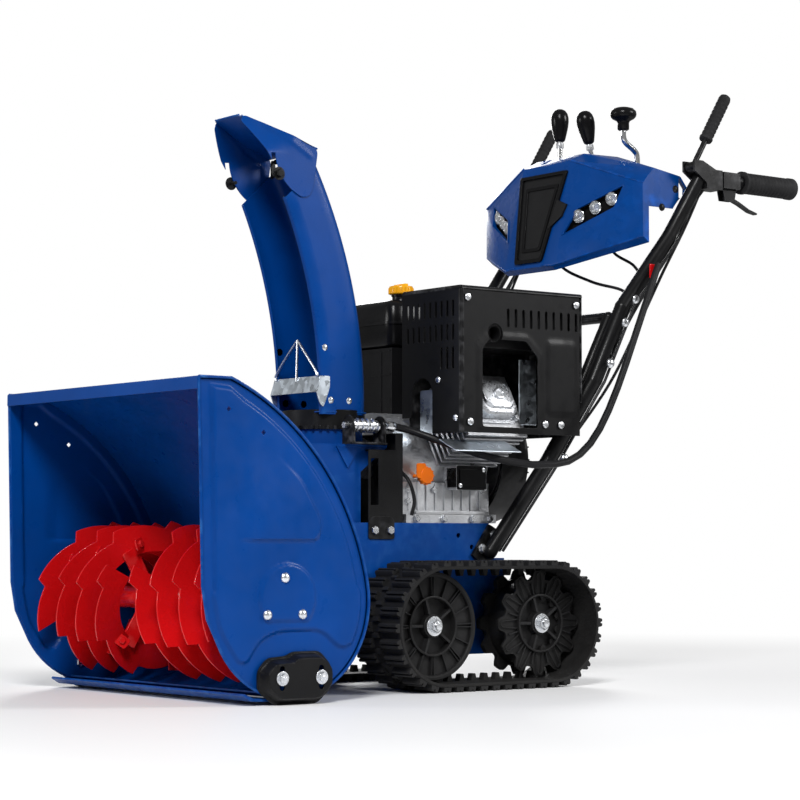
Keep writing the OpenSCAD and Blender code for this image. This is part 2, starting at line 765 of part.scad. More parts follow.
module handlebar() color(black) {
    tube(handle_path, tube_r);
    // foot plate on the chassis side
    difference() {
        plate_yz(chassis_x, chassis_x + 6, [[500, 212], [536, 262], [560, 250], [545, 205], [516, 200]]);
        tube([handle_path[0], handle_path[1]], tube_r + hole_gap);
    }
    // clamp with two ears for the clutch lever and two for the trigger
    difference() {
        union() {
            block([grip_x - 15, 904, grip_z - 20], [grip_x + 15, 942, grip_z + 14]);
            for (s = [-1, 1]) {
                plate_yz(grip_x + s * 13 - 2, grip_x + s * 13 + 2, [
                    [clutch_yz[0] - 10, clutch_yz[1] - 8], [clutch_yz[0] - 10, clutch_yz[1] + 10],
                    [clutch_yz[0] + 10, clutch_yz[1] + 10], [936, grip_z + 10], [936, grip_z - 10],
                    [904, grip_z - 10]
                ]);
                plate_yz(grip_x + s * 6 - 1.5, grip_x + s * 6 + 1.5, [
                    [948, grip_z - 8], [984, grip_z - 8], [978, trigger_yz[1] - 9], [954, trigger_yz[1] - 9]
                ]);
            }
            block([grip_x - 14, 946, grip_z - 15], [grip_x + 14, 986, grip_z + 13]);
        }
        tube([for (i = [4:7]) handle_path[i]], tube_r + hole_gap);
    }
    rod_x([grip_x - 15, clutch_yz[0], clutch_yz[1]], 30, 4);
    rod_x([grip_x - 7.5, trigger_yz[0], trigger_yz[1]], 15, 3);
}

module left_handlebar() handlebar();
module right_handlebar() mirror([1, 0, 0]) handlebar();

module handle_crossbar() color(black) difference() {
    tube([[158, 690, 500], [171, 738, 610], [-171, 738, 610], [-158, 690, 500]], 9);
    both_sides() tube(handle_path, tube_r + hole_gap);
}

module handle_grips() color(rubber) both_sides() difference() {
    rod_y([grip_x, grip_y, grip_z], grip_len, 20);
    rod_y([grip_x, grip_y - 1, grip_z], grip_len - 5, tube_r * knuckle + hole_gap);
}

module clutch_lever() color(black) translate([grip_x, clutch_yz[0], clutch_yz[1]]) rotate([clutch_a, 0, 0])
    difference() {
        union() {
            rod_x([-9, 0, 0], 18, 9);
            rod_y([0, 4, 0], 60, 5);
            rod_y([0, 58, 0], 96, 11);
        }
        rod_x([-12, 0, 0], 24, 4 + run_gap);
    }

module left_clutch_lever() clutch_lever();
module right_clutch_lever() mirror([1, 0, 0]) clutch_lever();

module trigger() color(black) translate([grip_x, trigger_yz[0], trigger_yz[1]]) difference() {
    union() {
        rod_x([-4, 0, 0], 8, 7);
        rotate([-19, 0, 0]) block([-4, 4, -4], [4, 76, 1]);
    }
    rod_x([-6, 0, 0], 12, 3 + run_gap);
}

module left_trigger() trigger();
module right_trigger() mirror([1, 0, 0]) trigger();

// Dash: an arrow shaped moulding, higher at the middle, swept back to both ends
dash_mid = [[708, 706], [716, 698], [760, 712], [890, 790], [902, 884], [862, 908], [784, 906], [752, 890]];
dash_end = [[786, 748], [800, 738], [866, 768], [896, 808], [897, 836], [880, 856], [812, 866], [786, 838]];
dash_x = [62, 206];
dash_t = 3;

function toward(points, c, t) = [for (p = points) p + t * (c - p) / norm(c - p)];
dash_mid_c = [810, 805];
dash_end_c = [840, 805];

module dash_form(t) {
    mid = toward(dash_mid, dash_mid_c, t * 1.2);
    end = toward(dash_end, dash_end_c, t * 1.2);
    hull() {
        plate_yz(-dash_x[0], dash_x[0], mid);
        plate_yz(dash_x[1] - 1 - t, dash_x[1] - t, end);
    }
    hull() {
        plate_yz(-dash_x[0], dash_x[0], mid);
        plate_yz(-dash_x[1] + t, -dash_x[1] + 1 + t, end);
    }
}

module lamp_window() both_sides() translate([0, 812, 0]) rotate([90, 0, 0])
    linear_extrude(200) polygon([[74, 760], [92, 802], [170, 836], [160, 800]]);

module grille_window() translate([0, 762, 0]) rotate([90, 0, 0])
    linear_extrude(120) polygon([[-34, 716], [34, 716], [60, 872], [-60, 872]]);

module dash_panel() color(blue) {
    difference() {
        dash_form(0);
        dash_form(dash_t);
        // open at the rear and below, where the handle tubes pass
        block([-190, 846, 600], [190, 960, 852]);
        block([-230, 800, 700], [230, 960, 800]);
        lamp_window();
        grille_window();
        // lever slots and the crank's hole
        block([speed_pivot[0] - 7, speed_pivot[1] - 40, 880], [speed_pivot[0] + 7, speed_pivot[1] + 40, 930]);
        block([spout_pivot[0] - 7, spout_pivot[1] - 54, 870], [spout_pivot[0] + 7, spout_pivot[1] + 34, 930]);
        rod_z([crank_xy[0], crank_xy[1], 840], 80, 5 + run_gap);
        both_sides() tube([for (i = [3:5]) handle_path[i]], tube_r + 4);
        both_sides() block([200, 870, 820], [260, 960, 900]);
    }
    // hangers and pivot pins of the two levers
    for (x = [-40, 64]) block([x - 2, 780, 782], [x + 2, 850, 905]);
    rod_x([-40, speed_pivot[1], speed_pivot[2]], 104, 4);
    rod_x([-40, spout_pivot[1], spout_pivot[2]], 104, 4);
}

module dash_grille() color(black) intersection() {
    difference() {
        dash_form(0);
        dash_form(dash_t);
    }
    grille_window();
}

module headlights() color("white") intersection() {
    difference() {
        dash_form(0);
        dash_form(dash_t);
    }
    lamp_window();
}

// Lever on a pivot along X: hub, chromed rod and a pear shaped knob
module stick(lean, rod_len) rotate([lean, 0, 0]) difference() {
    union() {
        rod_x([-8, 0, 0], 16, 9);
        rod_z([0, 0, 6], rod_len, 4.5);
        translate([0, 0, rod_len]) rotate_extrude() polygon([
            [0, 0], [9, 0], [11, 3], [15.5, 30], [15.5, 40], [13, 48], [8, 53], [0, 55]
        ]);
    }
    rod_x([-12, 0, 0], 24, 4 + run_gap);
}

module speed_lever() color(black) translate(speed_pivot) stick(0, 152);
module deflector_lever() color(black) translate(spout_pivot) stick(spout_lean, 144);

module chute_crank() color(black) {
    base = [crank_xy[0], crank_xy[1], 0];
    throw = -32;
    tube([base + [0, 0, 800], base + [0, 0, 906], base + [0, -6, 914], base + [0, throw + 6, 926],
        base + [0, throw, 934], base + [0, throw, 945]], 5);
    translate(base + [0, throw, 948]) rotate_extrude() polygon([
        [0, 0], [10, 0], [10, 14], [20, 20], [23, 26], [22, 33], [14, 38], [0, 40]
    ]);
}

// Smooth curve along four control points, sampled from step i0 of n
function curve(a, b, c, d, n = 6, i0 = 0) = [for (i = [i0:n]) let (t = i / n, s = 1 - t)
    s * s * s * a + 3 * s * s * t * b + 3 * s * t * t * c + t * t * t * d];

// A thin flexible line swept through points, never running along X
module cable(points, r, n = 12) {
    last = len(points) - 1;
    rings = [for (i = [0:last]) let (
        d = points[min(i + 1, last)] - points[max(i - 1, 0)],
        u = cross([1, 0, 0], d) / norm(cross([1, 0, 0], d)),
        v = cross(d, u) / norm(d)
    ) for (k = [0:n - 1]) points[i] + r * (u * cos(360 * k / n) + v * sin(360 * k / n))];
    sides = [for (i = [0:last - 1], k = [0:n - 1]) let (a = i * n + k, b = i * n + (k + 1) % n)
        each [[a, b + n, b], [a, a + n, b + n]]];
    polyhedron(rings, concat([[for (k = [0:n - 1]) k]], sides, [[for (k = [n - 1:-1:0]) last * n + k]]));
}

module flex_shaft() color(black) {
    start = [worm_x, worm_y[1] + 37, worm_z];
    belly = [236, 560, 358];
    top = [222, 806, 700];
    cable(concat(
        curve(start, start + [0, 40, -1], belly + [-8, -112, -13], belly, 8),
        curve(belly, belly + [14, 90, 6], [240, 690, 480], top, 10, 1)
    ), 6);
}

// Cables clipped behind the handle tubes
module control_cables() color(black) {
    both_sides() for (shift = [[8, 20, 0], [-6, 24, 0]]) cable([for (i = [0:4]) handle_path[i] + shift], 2.5);
}

auger_housing();
left_side_plate();
right_side_plate();
scraper_blade();
housing_fasteners();
shaft_bearings();
impeller_housing();
gearbox_case();
auger_shaft();
left_auger();
right_auger();
worm_wheel();
impeller();
impeller_shaft();
impeller_pulley();
crankshaft();
drive_belts();
chassis_frame();
belt_cover();
engine_block();
cylinder_head();
rocker_cover();
heat_shield();
muffler();
muffler_guard();
fuel_tank();
fuel_cap();
air_box();
recoil_housing();
recoil_handle();
dipstick();
frame_fasteners();
worm_bracket();
chute_worm();
chute();
chute_brace();
deflector();
flex_shaft();
chute_crank();
left_handlebar();
right_handlebar();
handle_crossbar();
dash_panel();
dash_grille();
headlights();
handle_grips();
left_clutch_lever();
right_clutch_lever();
left_trigger();
right_trigger();
speed_lever();
deflector_lever();
left_front_wheel();
left_rear_wheel();
right_front_wheel();
right_rear_wheel();
track_belts();
left_skid();
right_skid();
control_cables();
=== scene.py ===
"""Looks of a two stage snow blower on rubber tracks, built round its CAD frame.

Everything is in metres. +Z is up, the auger housing opens towards -Y, and the operator stands at +Y.
The operator's left is +X.
"""
import json
import math

import bpy
import numpy as np
from mathutils import Matrix, Vector
from mathutils.geometry import delaunay_2d_cdt


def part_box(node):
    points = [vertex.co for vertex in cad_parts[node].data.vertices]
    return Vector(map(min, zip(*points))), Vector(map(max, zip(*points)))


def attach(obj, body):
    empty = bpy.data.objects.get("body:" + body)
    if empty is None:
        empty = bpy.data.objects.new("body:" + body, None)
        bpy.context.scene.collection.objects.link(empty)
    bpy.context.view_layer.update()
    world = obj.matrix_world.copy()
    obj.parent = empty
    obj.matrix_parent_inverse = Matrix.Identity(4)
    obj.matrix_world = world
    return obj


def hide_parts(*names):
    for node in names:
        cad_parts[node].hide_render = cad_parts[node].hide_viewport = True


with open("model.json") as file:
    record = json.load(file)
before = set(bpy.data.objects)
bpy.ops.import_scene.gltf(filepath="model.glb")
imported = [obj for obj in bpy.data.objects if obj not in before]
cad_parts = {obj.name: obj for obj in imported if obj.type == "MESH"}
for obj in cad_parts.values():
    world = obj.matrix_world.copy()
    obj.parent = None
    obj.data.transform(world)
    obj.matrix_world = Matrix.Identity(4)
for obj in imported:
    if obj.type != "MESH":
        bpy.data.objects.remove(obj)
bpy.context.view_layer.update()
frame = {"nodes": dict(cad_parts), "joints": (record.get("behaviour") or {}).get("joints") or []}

JOINT = {j["name"]: Vector(j["pos_m"]) for j in frame["joints"] if "pos_m" in j}
TAU = 2 * math.pi
X, Y, Z = (1, 0, 0), (0, 1, 0), (0, 0, 1)
SIDES = ("left", "right")
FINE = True


# ---------- materials ----------

class Nodes:
    """A small helper that adds and links shader nodes."""

    def __init__(self, name):
        self.material = bpy.data.materials.new(name)
        self.material.use_nodes = True
        self.tree = self.material.node_tree
        self.surface = self.tree.nodes["Principled BSDF"]
        self.coords = self.tree.nodes.new("ShaderNodeTexCoord").outputs["Object"]

    def link(self, source, target):
        self.tree.links.new(source, target)

    def set(self, name, value):
        """Gives an input of the surface a plain value, or links another node's output to it."""
        if isinstance(value, bpy.types.NodeSocket):
            self.link(value, self.surface.inputs[name])
        else:
            self.surface.inputs[name].default_value = value

    def noise(self, scale, detail=4.0, stretch=None):
        node = self.tree.nodes.new("ShaderNodeTexNoise")
        node.inputs["Scale"].default_value = scale
        node.inputs["Detail"].default_value = detail
        self.link(self.stretched(stretch), node.inputs["Vector"])
        return node.outputs["Fac"]

    def cells(self, scale, feature="F1", stretch=None):
        node = self.tree.nodes.new("ShaderNodeTexVoronoi")
        node.feature = feature
        node.inputs["Scale"].default_value = scale
        self.link(self.stretched(stretch), node.inputs["Vector"])
        return node.outputs["Color" if feature == "F1" else "Distance"]

    def stretched(self, stretch):
        if stretch is None:
            return self.coords
        node = self.tree.nodes.new("ShaderNodeMapping")
        node.inputs["Scale"].default_value = stretch
        self.link(self.coords, node.inputs["Vector"])
        return node.outputs["Vector"]

    def remap(self, value, low, high, from_low=0.0, from_high=1.0):
        node = self.tree.nodes.new("ShaderNodeMapRange")
        node.inputs["From Min"].default_value = from_low
        node.inputs["From Max"].default_value = from_high
        node.inputs["To Min"].default_value = low
        node.inputs["To Max"].default_value = high
        self.link(value, node.inputs["Value"])
        return node.outputs["Result"]

    def patches(self, scale, detail=4.0, low=0.0, high=1.0):
        """Noise spread out so that it runs from low to high."""
        return self.remap(self.noise(scale, detail), low, high, 0.3, 0.7)

    def mix(self, factor, a, b):
        node = self.tree.nodes.new("ShaderNodeMix")
        node.data_type = "RGBA"
        for socket, value in ((node.inputs[6], a), (node.inputs[7], b)):
            if isinstance(value, tuple):
                socket.default_value = (*value, 1.0)
            else:
                self.link(value, socket)
        self.link(factor, node.inputs[0])
        return node.outputs[2]

    def height(self, value):
        """0 at the ground, rising to 1 at this height on the object."""
        node = self.tree.nodes.new("ShaderNodeSeparateXYZ")
        self.link(self.coords, node.inputs[0])
        return self.remap(node.outputs["Z"], 0.0, 1.0, 0.0, value)

    def edges(self):
        """1 on outward corners, 0 elsewhere."""
        node = self.tree.nodes.new("ShaderNodeNewGeometry")
        return self.remap(node.outputs["Pointiness"], 0.0, 1.0, 0.53, 0.62)

    def bump(self, value, depth, strength=1.0):
        node = self.tree.nodes.new("ShaderNodeBump")
        node.inputs["Strength"].default_value = strength
        node.inputs["Distance"].default_value = depth
        self.link(value, node.inputs["Height"])
        self.link(node.outputs["Normal"], self.surface.inputs["Normal"])

    def product(self, a, b):
        node = self.tree.nodes.new("ShaderNodeMath")
        node.operation = "MULTIPLY"
        self.link(a, node.inputs[0])
        self.link(b, node.inputs[1])
        return node.outputs[0]


SHEEN = 0.14
DUST = (0.16, 0.15, 0.14)


def shade(colour, factor):
    return tuple(min(1.0, c * factor) for c in colour)


def coated(name, colour, rough=0.3, clear=0.6, grain=420.0, depth=0.00008, metallic=0.0, worn=None):
    """Powder coat or paint: a faint orange peel, slow tone changes, and paler scuffed corners."""
    n = Nodes(name)
    tone = n.mix(n.patches(7.0), shade(colour, 0.86), shade(colour, 1.12))
    scuffs = n.product(n.edges(), n.remap(n.noise(60.0, 6.0), 0.0, 1.0, 0.45, 0.7))
    n.set("Base Color", n.mix(scuffs, tone, worn or shade(colour, 1.8)))
    n.set("Roughness", n.patches(35.0, 5.0, rough * 0.75, rough * 1.35))
    n.set("Metallic", metallic)
    n.set("Specular IOR Level", SHEEN)
    n.set("Coat Weight", clear)
    n.set("Coat Roughness", 0.08)
    n.bump(n.noise(grain, 2.0), depth)
    return n.material


def moulded(name, colour, rough=0.5, grain=900.0, depth=0.00012, dusty=0.0):
    """Moulded plastic or rubber with a fine pebble grain, and dust low down where asked for."""
    n = Nodes(name)
    tone = n.mix(n.patches(12.0), shade(colour, 0.8), shade(colour, 1.25))
    if dusty:
        low = n.remap(n.height(0.25), dusty, 0.0)
        tone = n.mix(n.product(low, n.noise(40.0, 6.0)), tone, DUST)
    n.set("Specular IOR Level", SHEEN)
    rubbed = n.product(n.edges(), n.noise(50.0, 5.0))
    n.set("Base Color", n.mix(rubbed, tone, shade(colour, 2.6)))
    n.set("Roughness", n.patches(80.0, 4.0, rough * 0.8, rough * 1.2))
    n.bump(n.cells(grain), depth)
    return n.material


def metal(name, colour, rough=0.3, stretch=None, grain=300.0, depth=0.00005, spangle=0.0):
    """Bare metal: brushed along one direction, cast, or galvanised with spangles."""
    n = Nodes(name)
    fine = n.noise(grain, 3.0, stretch)
    tone = n.mix(n.patches(20.0, 5.0), shade(colour, 0.82), shade(colour, 1.1))
    if spangle:
        flakes = n.cells(spangle)
        tone = n.mix(n.remap(flakes, 0.0, 0.45), tone, shade(colour, 1.25))
        rough_value = n.remap(flakes, rough * 0.7, rough * 1.5)
    else:
        rough_value = n.remap(fine, rough * 0.7, rough * 1.4, 0.3, 0.7)
    n.set("Base Color", tone)
    n.set("Roughness", rough_value)
    n.set("Metallic", 1.0)
    n.bump(fine, depth)
    return n.material


def clear_lens(name):
    """A clear polycarbonate lens with fine flutes."""
    n = Nodes(name)
    n.set("Base Color", n.mix(n.noise(40.0), (0.86, 0.9, 0.94), (1.0, 1.0, 1.0)))
    n.set("Transmission Weight", 0.85)
    n.set("Roughness", 0.04)
    n.set("IOR", 1.45)
    n.bump(n.noise(220.0, 1.0), 0.0002)
    return n.material


BLUE = coated("blue_coat", (0.0, 0.045, 0.235), rough=0.34, clear=0.03, worn=(0.03, 0.14, 0.40))
BLUE_PLASTIC = coated("blue_plastic", (0.0, 0.044, 0.22), rough=0.28, clear=0.06, grain=700.0,
                      depth=0.00004)
RED = coated("red_coat", (0.58, 0.005, 0.007), rough=0.26, clear=0.5, grain=300.0, worn=(0.9, 0.16, 0.15))
BLACK = coated("black_coat", (0.006, 0.006, 0.0065), rough=0.36, clear=0.06, grain=500.0,
               worn=(0.09, 0.09, 0.095))
GUARD_BLACK = coated("guard_black", (0.006, 0.006, 0.0065), rough=0.42, clear=0.03, grain=650.0,
                     depth=0.00015, worn=(0.2, 0.2, 0.21))
PLASTIC = moulded("black_plastic", (0.008, 0.008, 0.0085), rough=0.42)
GLOSS_PLASTIC = moulded("gloss_plastic", (0.005, 0.005, 0.0055), rough=0.2, grain=1400.0, depth=0.00003)
TRACK = moulded("track_rubber", (0.009, 0.009, 0.0095), rough=0.62, grain=500.0, depth=0.00025, dusty=0.12)
WHEEL_PLASTIC = moulded("wheel_plastic", (0.009, 0.009, 0.0095), rough=0.45, grain=800.0, dusty=0.08)
GRIP_RUBBER = moulded("grip_rubber", (0.016, 0.016, 0.017), rough=0.7, grain=600.0, depth=0.0003)
CABLE = moulded("cable_sheath", (0.012, 0.012, 0.013), rough=0.35, grain=1500.0, depth=0.00003)
ZINC = metal("zinc_plate", (0.80, 0.82, 0.85), rough=0.28, grain=500.0)
GALVANISED = metal("galvanised", (0.62, 0.68, 0.74), rough=0.34, spangle=130.0)
STEEL = metal("turned_steel", (0.56, 0.57, 0.58), rough=0.3, stretch=(1.0, 1.0, 14.0))
ALUMINIUM = metal("cast_aluminium", (0.60, 0.61, 0.63), rough=0.45, grain=260.0, depth=0.0004)
IRON = metal("cast_iron", (0.22, 0.22, 0.23), rough=0.55, grain=300.0, depth=0.0004)
COVER = metal("rocker_cover_metal", (0.66, 0.68, 0.71), rough=0.32, grain=350.0, depth=0.0002)
CHROME = metal("chrome", (0.9, 0.91, 0.93), rough=0.06, grain=60.0, depth=0.00001)
BRONZE = metal("bronze", (0.60, 0.38, 0.13), rough=0.35, grain=280.0, depth=0.0001)
YELLOW = coated("yellow_plastic", (0.87, 0.40, 0.008), rough=0.35, clear=0.2)
ORANGE = coated("orange_plastic", (0.86, 0.17, 0.008), rough=0.35, clear=0.2)
LENS = clear_lens("lamp_lens")

SLOTS = {
    "blue_paint": [BLUE],
    "blue_plastic": [BLUE_PLASTIC],
    "red_paint": [RED],
    "black_paint": [BLACK, GUARD_BLACK],
    "black_plastic": [PLASTIC, GLOSS_PLASTIC, WHEEL_PLASTIC, GRIP_RUBBER, CABLE],
    "track_rubber": [TRACK],
    "zinc_steel": [ZINC, GALVANISED, STEEL, COVER, CHROME],
    "cast_aluminium": [ALUMINIUM],
    "cast_iron": [IRON],
    "bronze": [BRONZE],
    "yellow_plastic": [YELLOW],
    "orange_plastic": [ORANGE],
    "lamp_lens": [LENS],
}
SLOT_OF = {material.name: slot for slot, materials in SLOTS.items() for material in materials}


# ---------- mesh helpers ----------

def arc(centre, radius, start, end, count):
    """Points along an arc, angles in degrees."""
    angles = [math.radians(start + (end - start) * i / count) for i in range(count + 1)]
    return [(centre[0] + radius * math.cos(a), centre[1] + radius * math.sin(a)) for a in angles]


def band(centre, outer, inner, start, end, count=8):
    """The outline of a strip that follows an arc."""
    return arc(centre, outer, start, end, count) + arc(centre, inner, end, start, count)


def slot_loop(middle, low, high, half, count=6):
    """An upright slot with round ends."""
    return (arc((middle, low + half), half, 180, 360, count)
            + arc((middle, high - half), half, 0, 180, count))


def rectangle(a0, a1, b0, b1):
    return [(a0, b0), (a1, b0), (a1, b1), (a0, b1)]


def tapered(a0, a1, half0, half1):
    """Four points, half0 wide to each side at a0 and half1 at a1."""
    return [(a0, -half0), (a1, -half1), (a1, half1), (a0, half0)]


def wedge(half0, half1, b0, b1):
    """Four points, half0 wide to each side at the height b0 and half1 at b1."""
    return [(-half0, b0), (half0, b0), (half1, b1), (-half1, b1)]


def rounded(points, radius, count=4):
    """A closed outline with each corner rounded by at most this radius."""
    result = []
    total = len(points)
    for i, corner in enumerate(points):
        here = Vector(corner)
        before = Vector(points[i - 1]) - here
        after = Vector(points[(i + 1) % total]) - here
        reach = min(radius, before.length * 0.48, after.length * 0.48)
        first = here + before.normalized() * reach
        last = here + after.normalized() * reach
        for k in range(count + 1):
            t = k / count
            point = first.lerp(here, t).lerp(here.lerp(last, t), t)
            result.append((point.x, point.y))
    return result


def in_yz(x):
    return lambda a, b, h: (x + h, a, b)


def in_xz(y):
    return lambda a, b, h: (a, y + h, b)


def in_xy(z):
    return lambda a, b, h: (a, b, z + h)


ACROSS = in_yz(0.0)
ALONG = in_xz(0.0)
UPWARD = in_xy(0.0)


def mirrored(place):
    """The same placing, on the machine's other side."""
    def other(a, b, h):
        x, y, z = place(a, b, h)
        return (-x, y, z)
    return other


def facing(origin, axis):
    """A turn that takes +Z to an axis through a point."""
    return Matrix.Translation(origin) @ Vector(Z).rotation_difference(Vector(axis)).to_matrix().to_4x4()


def spun(origin, turn, axis="X"):
    """A turn in radians about an axis through a point."""
    return Matrix.Translation(origin) @ Matrix.Rotation(turn, 4, axis)


def turned(profile, n):
    """Rows of points round +Z, one for each (radius, height) of a profile."""
    angles = [TAU * k / n for k in range(n)]
    return [[(r * math.cos(a), r * math.sin(a), along) for a in angles] for r, along in profile]


def each_side(place):
    """The left side with its placing, and the right side with the mirrored one."""
    return zip(SIDES, (place, mirrored(place)))


class Build:
    """Collects closed shells into one mesh."""

    def __init__(self):
        self.verts = []
        self.faces = []

    def add(self, verts, faces, turn=None):
        start = len(self.verts)
        if turn is not None:
            verts = [tuple(turn @ Vector(v)) for v in verts]
        self.verts.extend(tuple(v) for v in verts)
        self.faces.extend(tuple(start + i for i in face) for face in faces)
        return self

    def prism(self, loop, low, high, place, turn=None):
        """A flat outline made solid between two heights of a placing function."""
        n = len(loop)
        verts = [place(a, b, low) for a, b in loop] + [place(a, b, high) for a, b in loop]
        sides = [(i, (i + 1) % n, n + (i + 1) % n, n + i) for i in range(n)]
        return self.add(verts, [tuple(range(n - 1, -1, -1)), tuple(range(n, 2 * n))] + sides, turn)

    def box(self, low, high, turn=None):
        return self.prism(rectangle(low[0], high[0], low[1], high[1]), low[2], high[2], UPWARD, turn)

    def loft(self, rows, closed=False, turn=None):
        """Skins rows of as many points, with caps at both ends unless the rows close into a loop."""
        n = len(rows[0])
        faces = []
        for i in range(len(rows) if closed else len(rows) - 1):
            a, b = i * n, (i + 1) % len(rows) * n
            faces += [(a + k, a + (k + 1) % n, b + (k + 1) % n, b + k) for k in range(n)]
        if not closed:
            last = (len(rows) - 1) * n
            faces += [tuple(range(n - 1, -1, -1)), tuple(range(last, last + n))]
        return self.add([point for row in rows for point in row], faces, turn)

    def grid(self, rows):
        """An open surface through rows of as many points."""
        n = len(rows[0])
        corners = [i * n + k for i in range(len(rows) - 1) for k in range(n - 1)]
        faces = [(c, c + 1, c + n + 1, c + n) for c in corners]
        return self.add([point for row in rows for point in row], faces)

    def lathe(self, profile, origin, axis=X, n=40):
        """A profile of (radius, distance along the axis) turned about the axis, and closed at both ends."""
        return self.loft(turned(profile, n), turn=facing(origin, axis))

    def ring(self, profile, origin, axis=X, n=40):
        """A closed profile turned about the axis, with an open middle."""
        return self.loft(turned(profile, n), True, facing(origin, axis))

    def rod(self, radius, low, high, origin, axis=X, n=40):
        return self.lathe([(radius, low), (radius, high)], origin, axis, n)

    def collar(self, inner, outer, low, high, origin, axis=X, n=40):
        return self.ring(rectangle(inner, outer, low, high), origin, axis, n)

    def tube(self, points, radius, n=12):
        """A round bar through points, turned as little as possible between them."""
        points = [Vector(p) for p in points]
        rows = []
        side = None
        for i, point in enumerate(points):
            ahead = (points[min(i + 1, len(points) - 1)] - points[max(i - 1, 0)]).normalized()
            if side is None:
                side = ahead.orthogonal().normalized()
            side = (side - ahead * side.dot(ahead)).normalized()
            up = ahead.cross(side)
            rows.append([point + radius * (side * math.cos(TAU * k / n) + up * math.sin(TAU * k / n))
                         for k in range(n)])
        return self.loft(rows)

    def hex_bolt(self, base, axis=X, across=0.013, height=0.0055, washer=0.0):
        """A hex head with a chamfered crown and a flange or washer under it."""
        r = across / math.sqrt(3)
        if washer:
            self.rod(washer, 0.0, 0.0014, base, axis, 28)
        start = Vector(base) + Vector(axis) * (0.0012 if washer else 0.0)
        self.lathe([(r, 0.0), (r, height * 0.8), (r * 0.84, height)], start, axis, 6)
        return self

    def mirror(self):
        """The same shells on the machine's other side, in place of these."""
        self.verts = [(-x, y, z) for x, y, z in self.verts]
        self.faces = [tuple(reversed(face)) for face in self.faces]
        return self

    def on(self, side):
        """Shells made for the left, on the side asked for."""
        return self.mirror() if side == "right" else self

    def both_sides(self):
        count = len(self.verts)
        self.verts += [(-x, y, z) for x, y, z in self.verts]
        self.faces += [tuple(count + i for i in reversed(face)) for face in self.faces]
        return self

    def moved(self, turn):
        """A copy of these shells after a turn."""
        return Build().add(self.verts, self.faces, turn)

    def piece(self, name, material, body="frame", bevel=0.0008, angle=35.0, segments=2, solid=0.0,
              slot=None, stands_for=()):
        mesh = bpy.data.meshes.new(name)
        mesh.from_pydata(self.verts, [], self.faces)
        mesh.validate()
        return finish_piece(name, mesh, body, material, bevel, angle, segments, solid, slot, stands_for)


def finish_piece(name, mesh, body, material, bevel, angle, segments, solid, slot, stands_for):
    obj = bpy.data.objects.new(name, mesh)
    bpy.context.scene.collection.objects.link(obj)
    for polygon in mesh.polygons:
        polygon.use_smooth = True
    mesh.materials.append(material)
    if solid:
        add_modifier(obj, "SOLIDIFY", thickness=solid, offset=-1.0)
    add_bevel(obj, bevel, angle, segments)
    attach(obj, body)
    slot or SLOT_OF[material.name]
    if stands_for:
        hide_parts(*stands_for)
    return obj


def add_modifier(obj, kind, **settings):
    modifier = obj.modifiers.new(kind.lower(), kind)
    for key, value in settings.items():
        setattr(modifier, key, value)
    return modifier


def add_bevel(obj, width, angle, segments):
    if not width:
        obj.data.set_sharp_from_angle(angle=math.radians(angle))
        return
    add_modifier(obj, "BEVEL", width=width, segments=segments, limit_method="ANGLE",
                 angle_limit=math.radians(angle), harden_normals=True, use_clamp_overlap=True)


def cad_finish(node, material, bevel=0.0008, angle=30.0):
    """Keeps a CAD node's shape, and gives it a material and softened edges."""
    obj = frame["nodes"][node]
    mesh = obj.data
    mesh.materials.clear()
    mesh.materials.append(material)
    if "custom_normal" in mesh.attributes:
        mesh.attributes.remove(mesh.attributes["custom_normal"])
    for polygon in mesh.polygons:
        polygon.use_smooth = True
        polygon.material_index = 0
    add_modifier(obj, "WELD", merge_threshold=0.00002)
    add_modifier(obj, "DECIMATE", decimate_type="DISSOLVE", angle_limit=math.radians(0.4))
    add_bevel(obj, bevel, angle, 2)


def inside(points, loop):
    """Which of the points lie inside a closed outline."""
    loop = np.asarray(loop)
    result = np.zeros(len(points), bool)
    for (ax, ay), (bx, by) in zip(loop, np.roll(loop, -1, 0)):
        crosses = (ay > points[:, 1]) != (by > points[:, 1])
        if not crosses.any():
            continue
        at = ax + (points[:, 1] - ay) * (bx - ax) / (by - ay)
        result ^= crosses & (points[:, 0] < at)
    return result


def distance(points, path):
    """Distance from each point to a path of straight steps."""
    best = np.full(len(points), 1e9)
    for a, b in zip(np.asarray(path[:-1]), np.asarray(path[1:])):
        step = b - a
        t = np.clip(((points - a) @ step) / max(step @ step, 1e-12), 0, 1)
        best = np.minimum(best, np.linalg.norm(points - a - t[:, None] * step, axis=1))
    return best


def smooth(value):
    value = np.clip(value, 0, 1)
    return value * value * (3 - 2 * value)


def pad(points, loop, width):
    """1 well inside an outline, 0 outside, with a smooth wall of this width at its edge."""
    closed = list(loop) + [loop[0]]
    away = distance(points, closed)
    return smooth(0.5 + np.where(inside(points, loop), away, -away) / width)


def ridge(points, path, width):
    """A round topped rib along a path."""
    return smooth(1 - distance(points, path) / width)


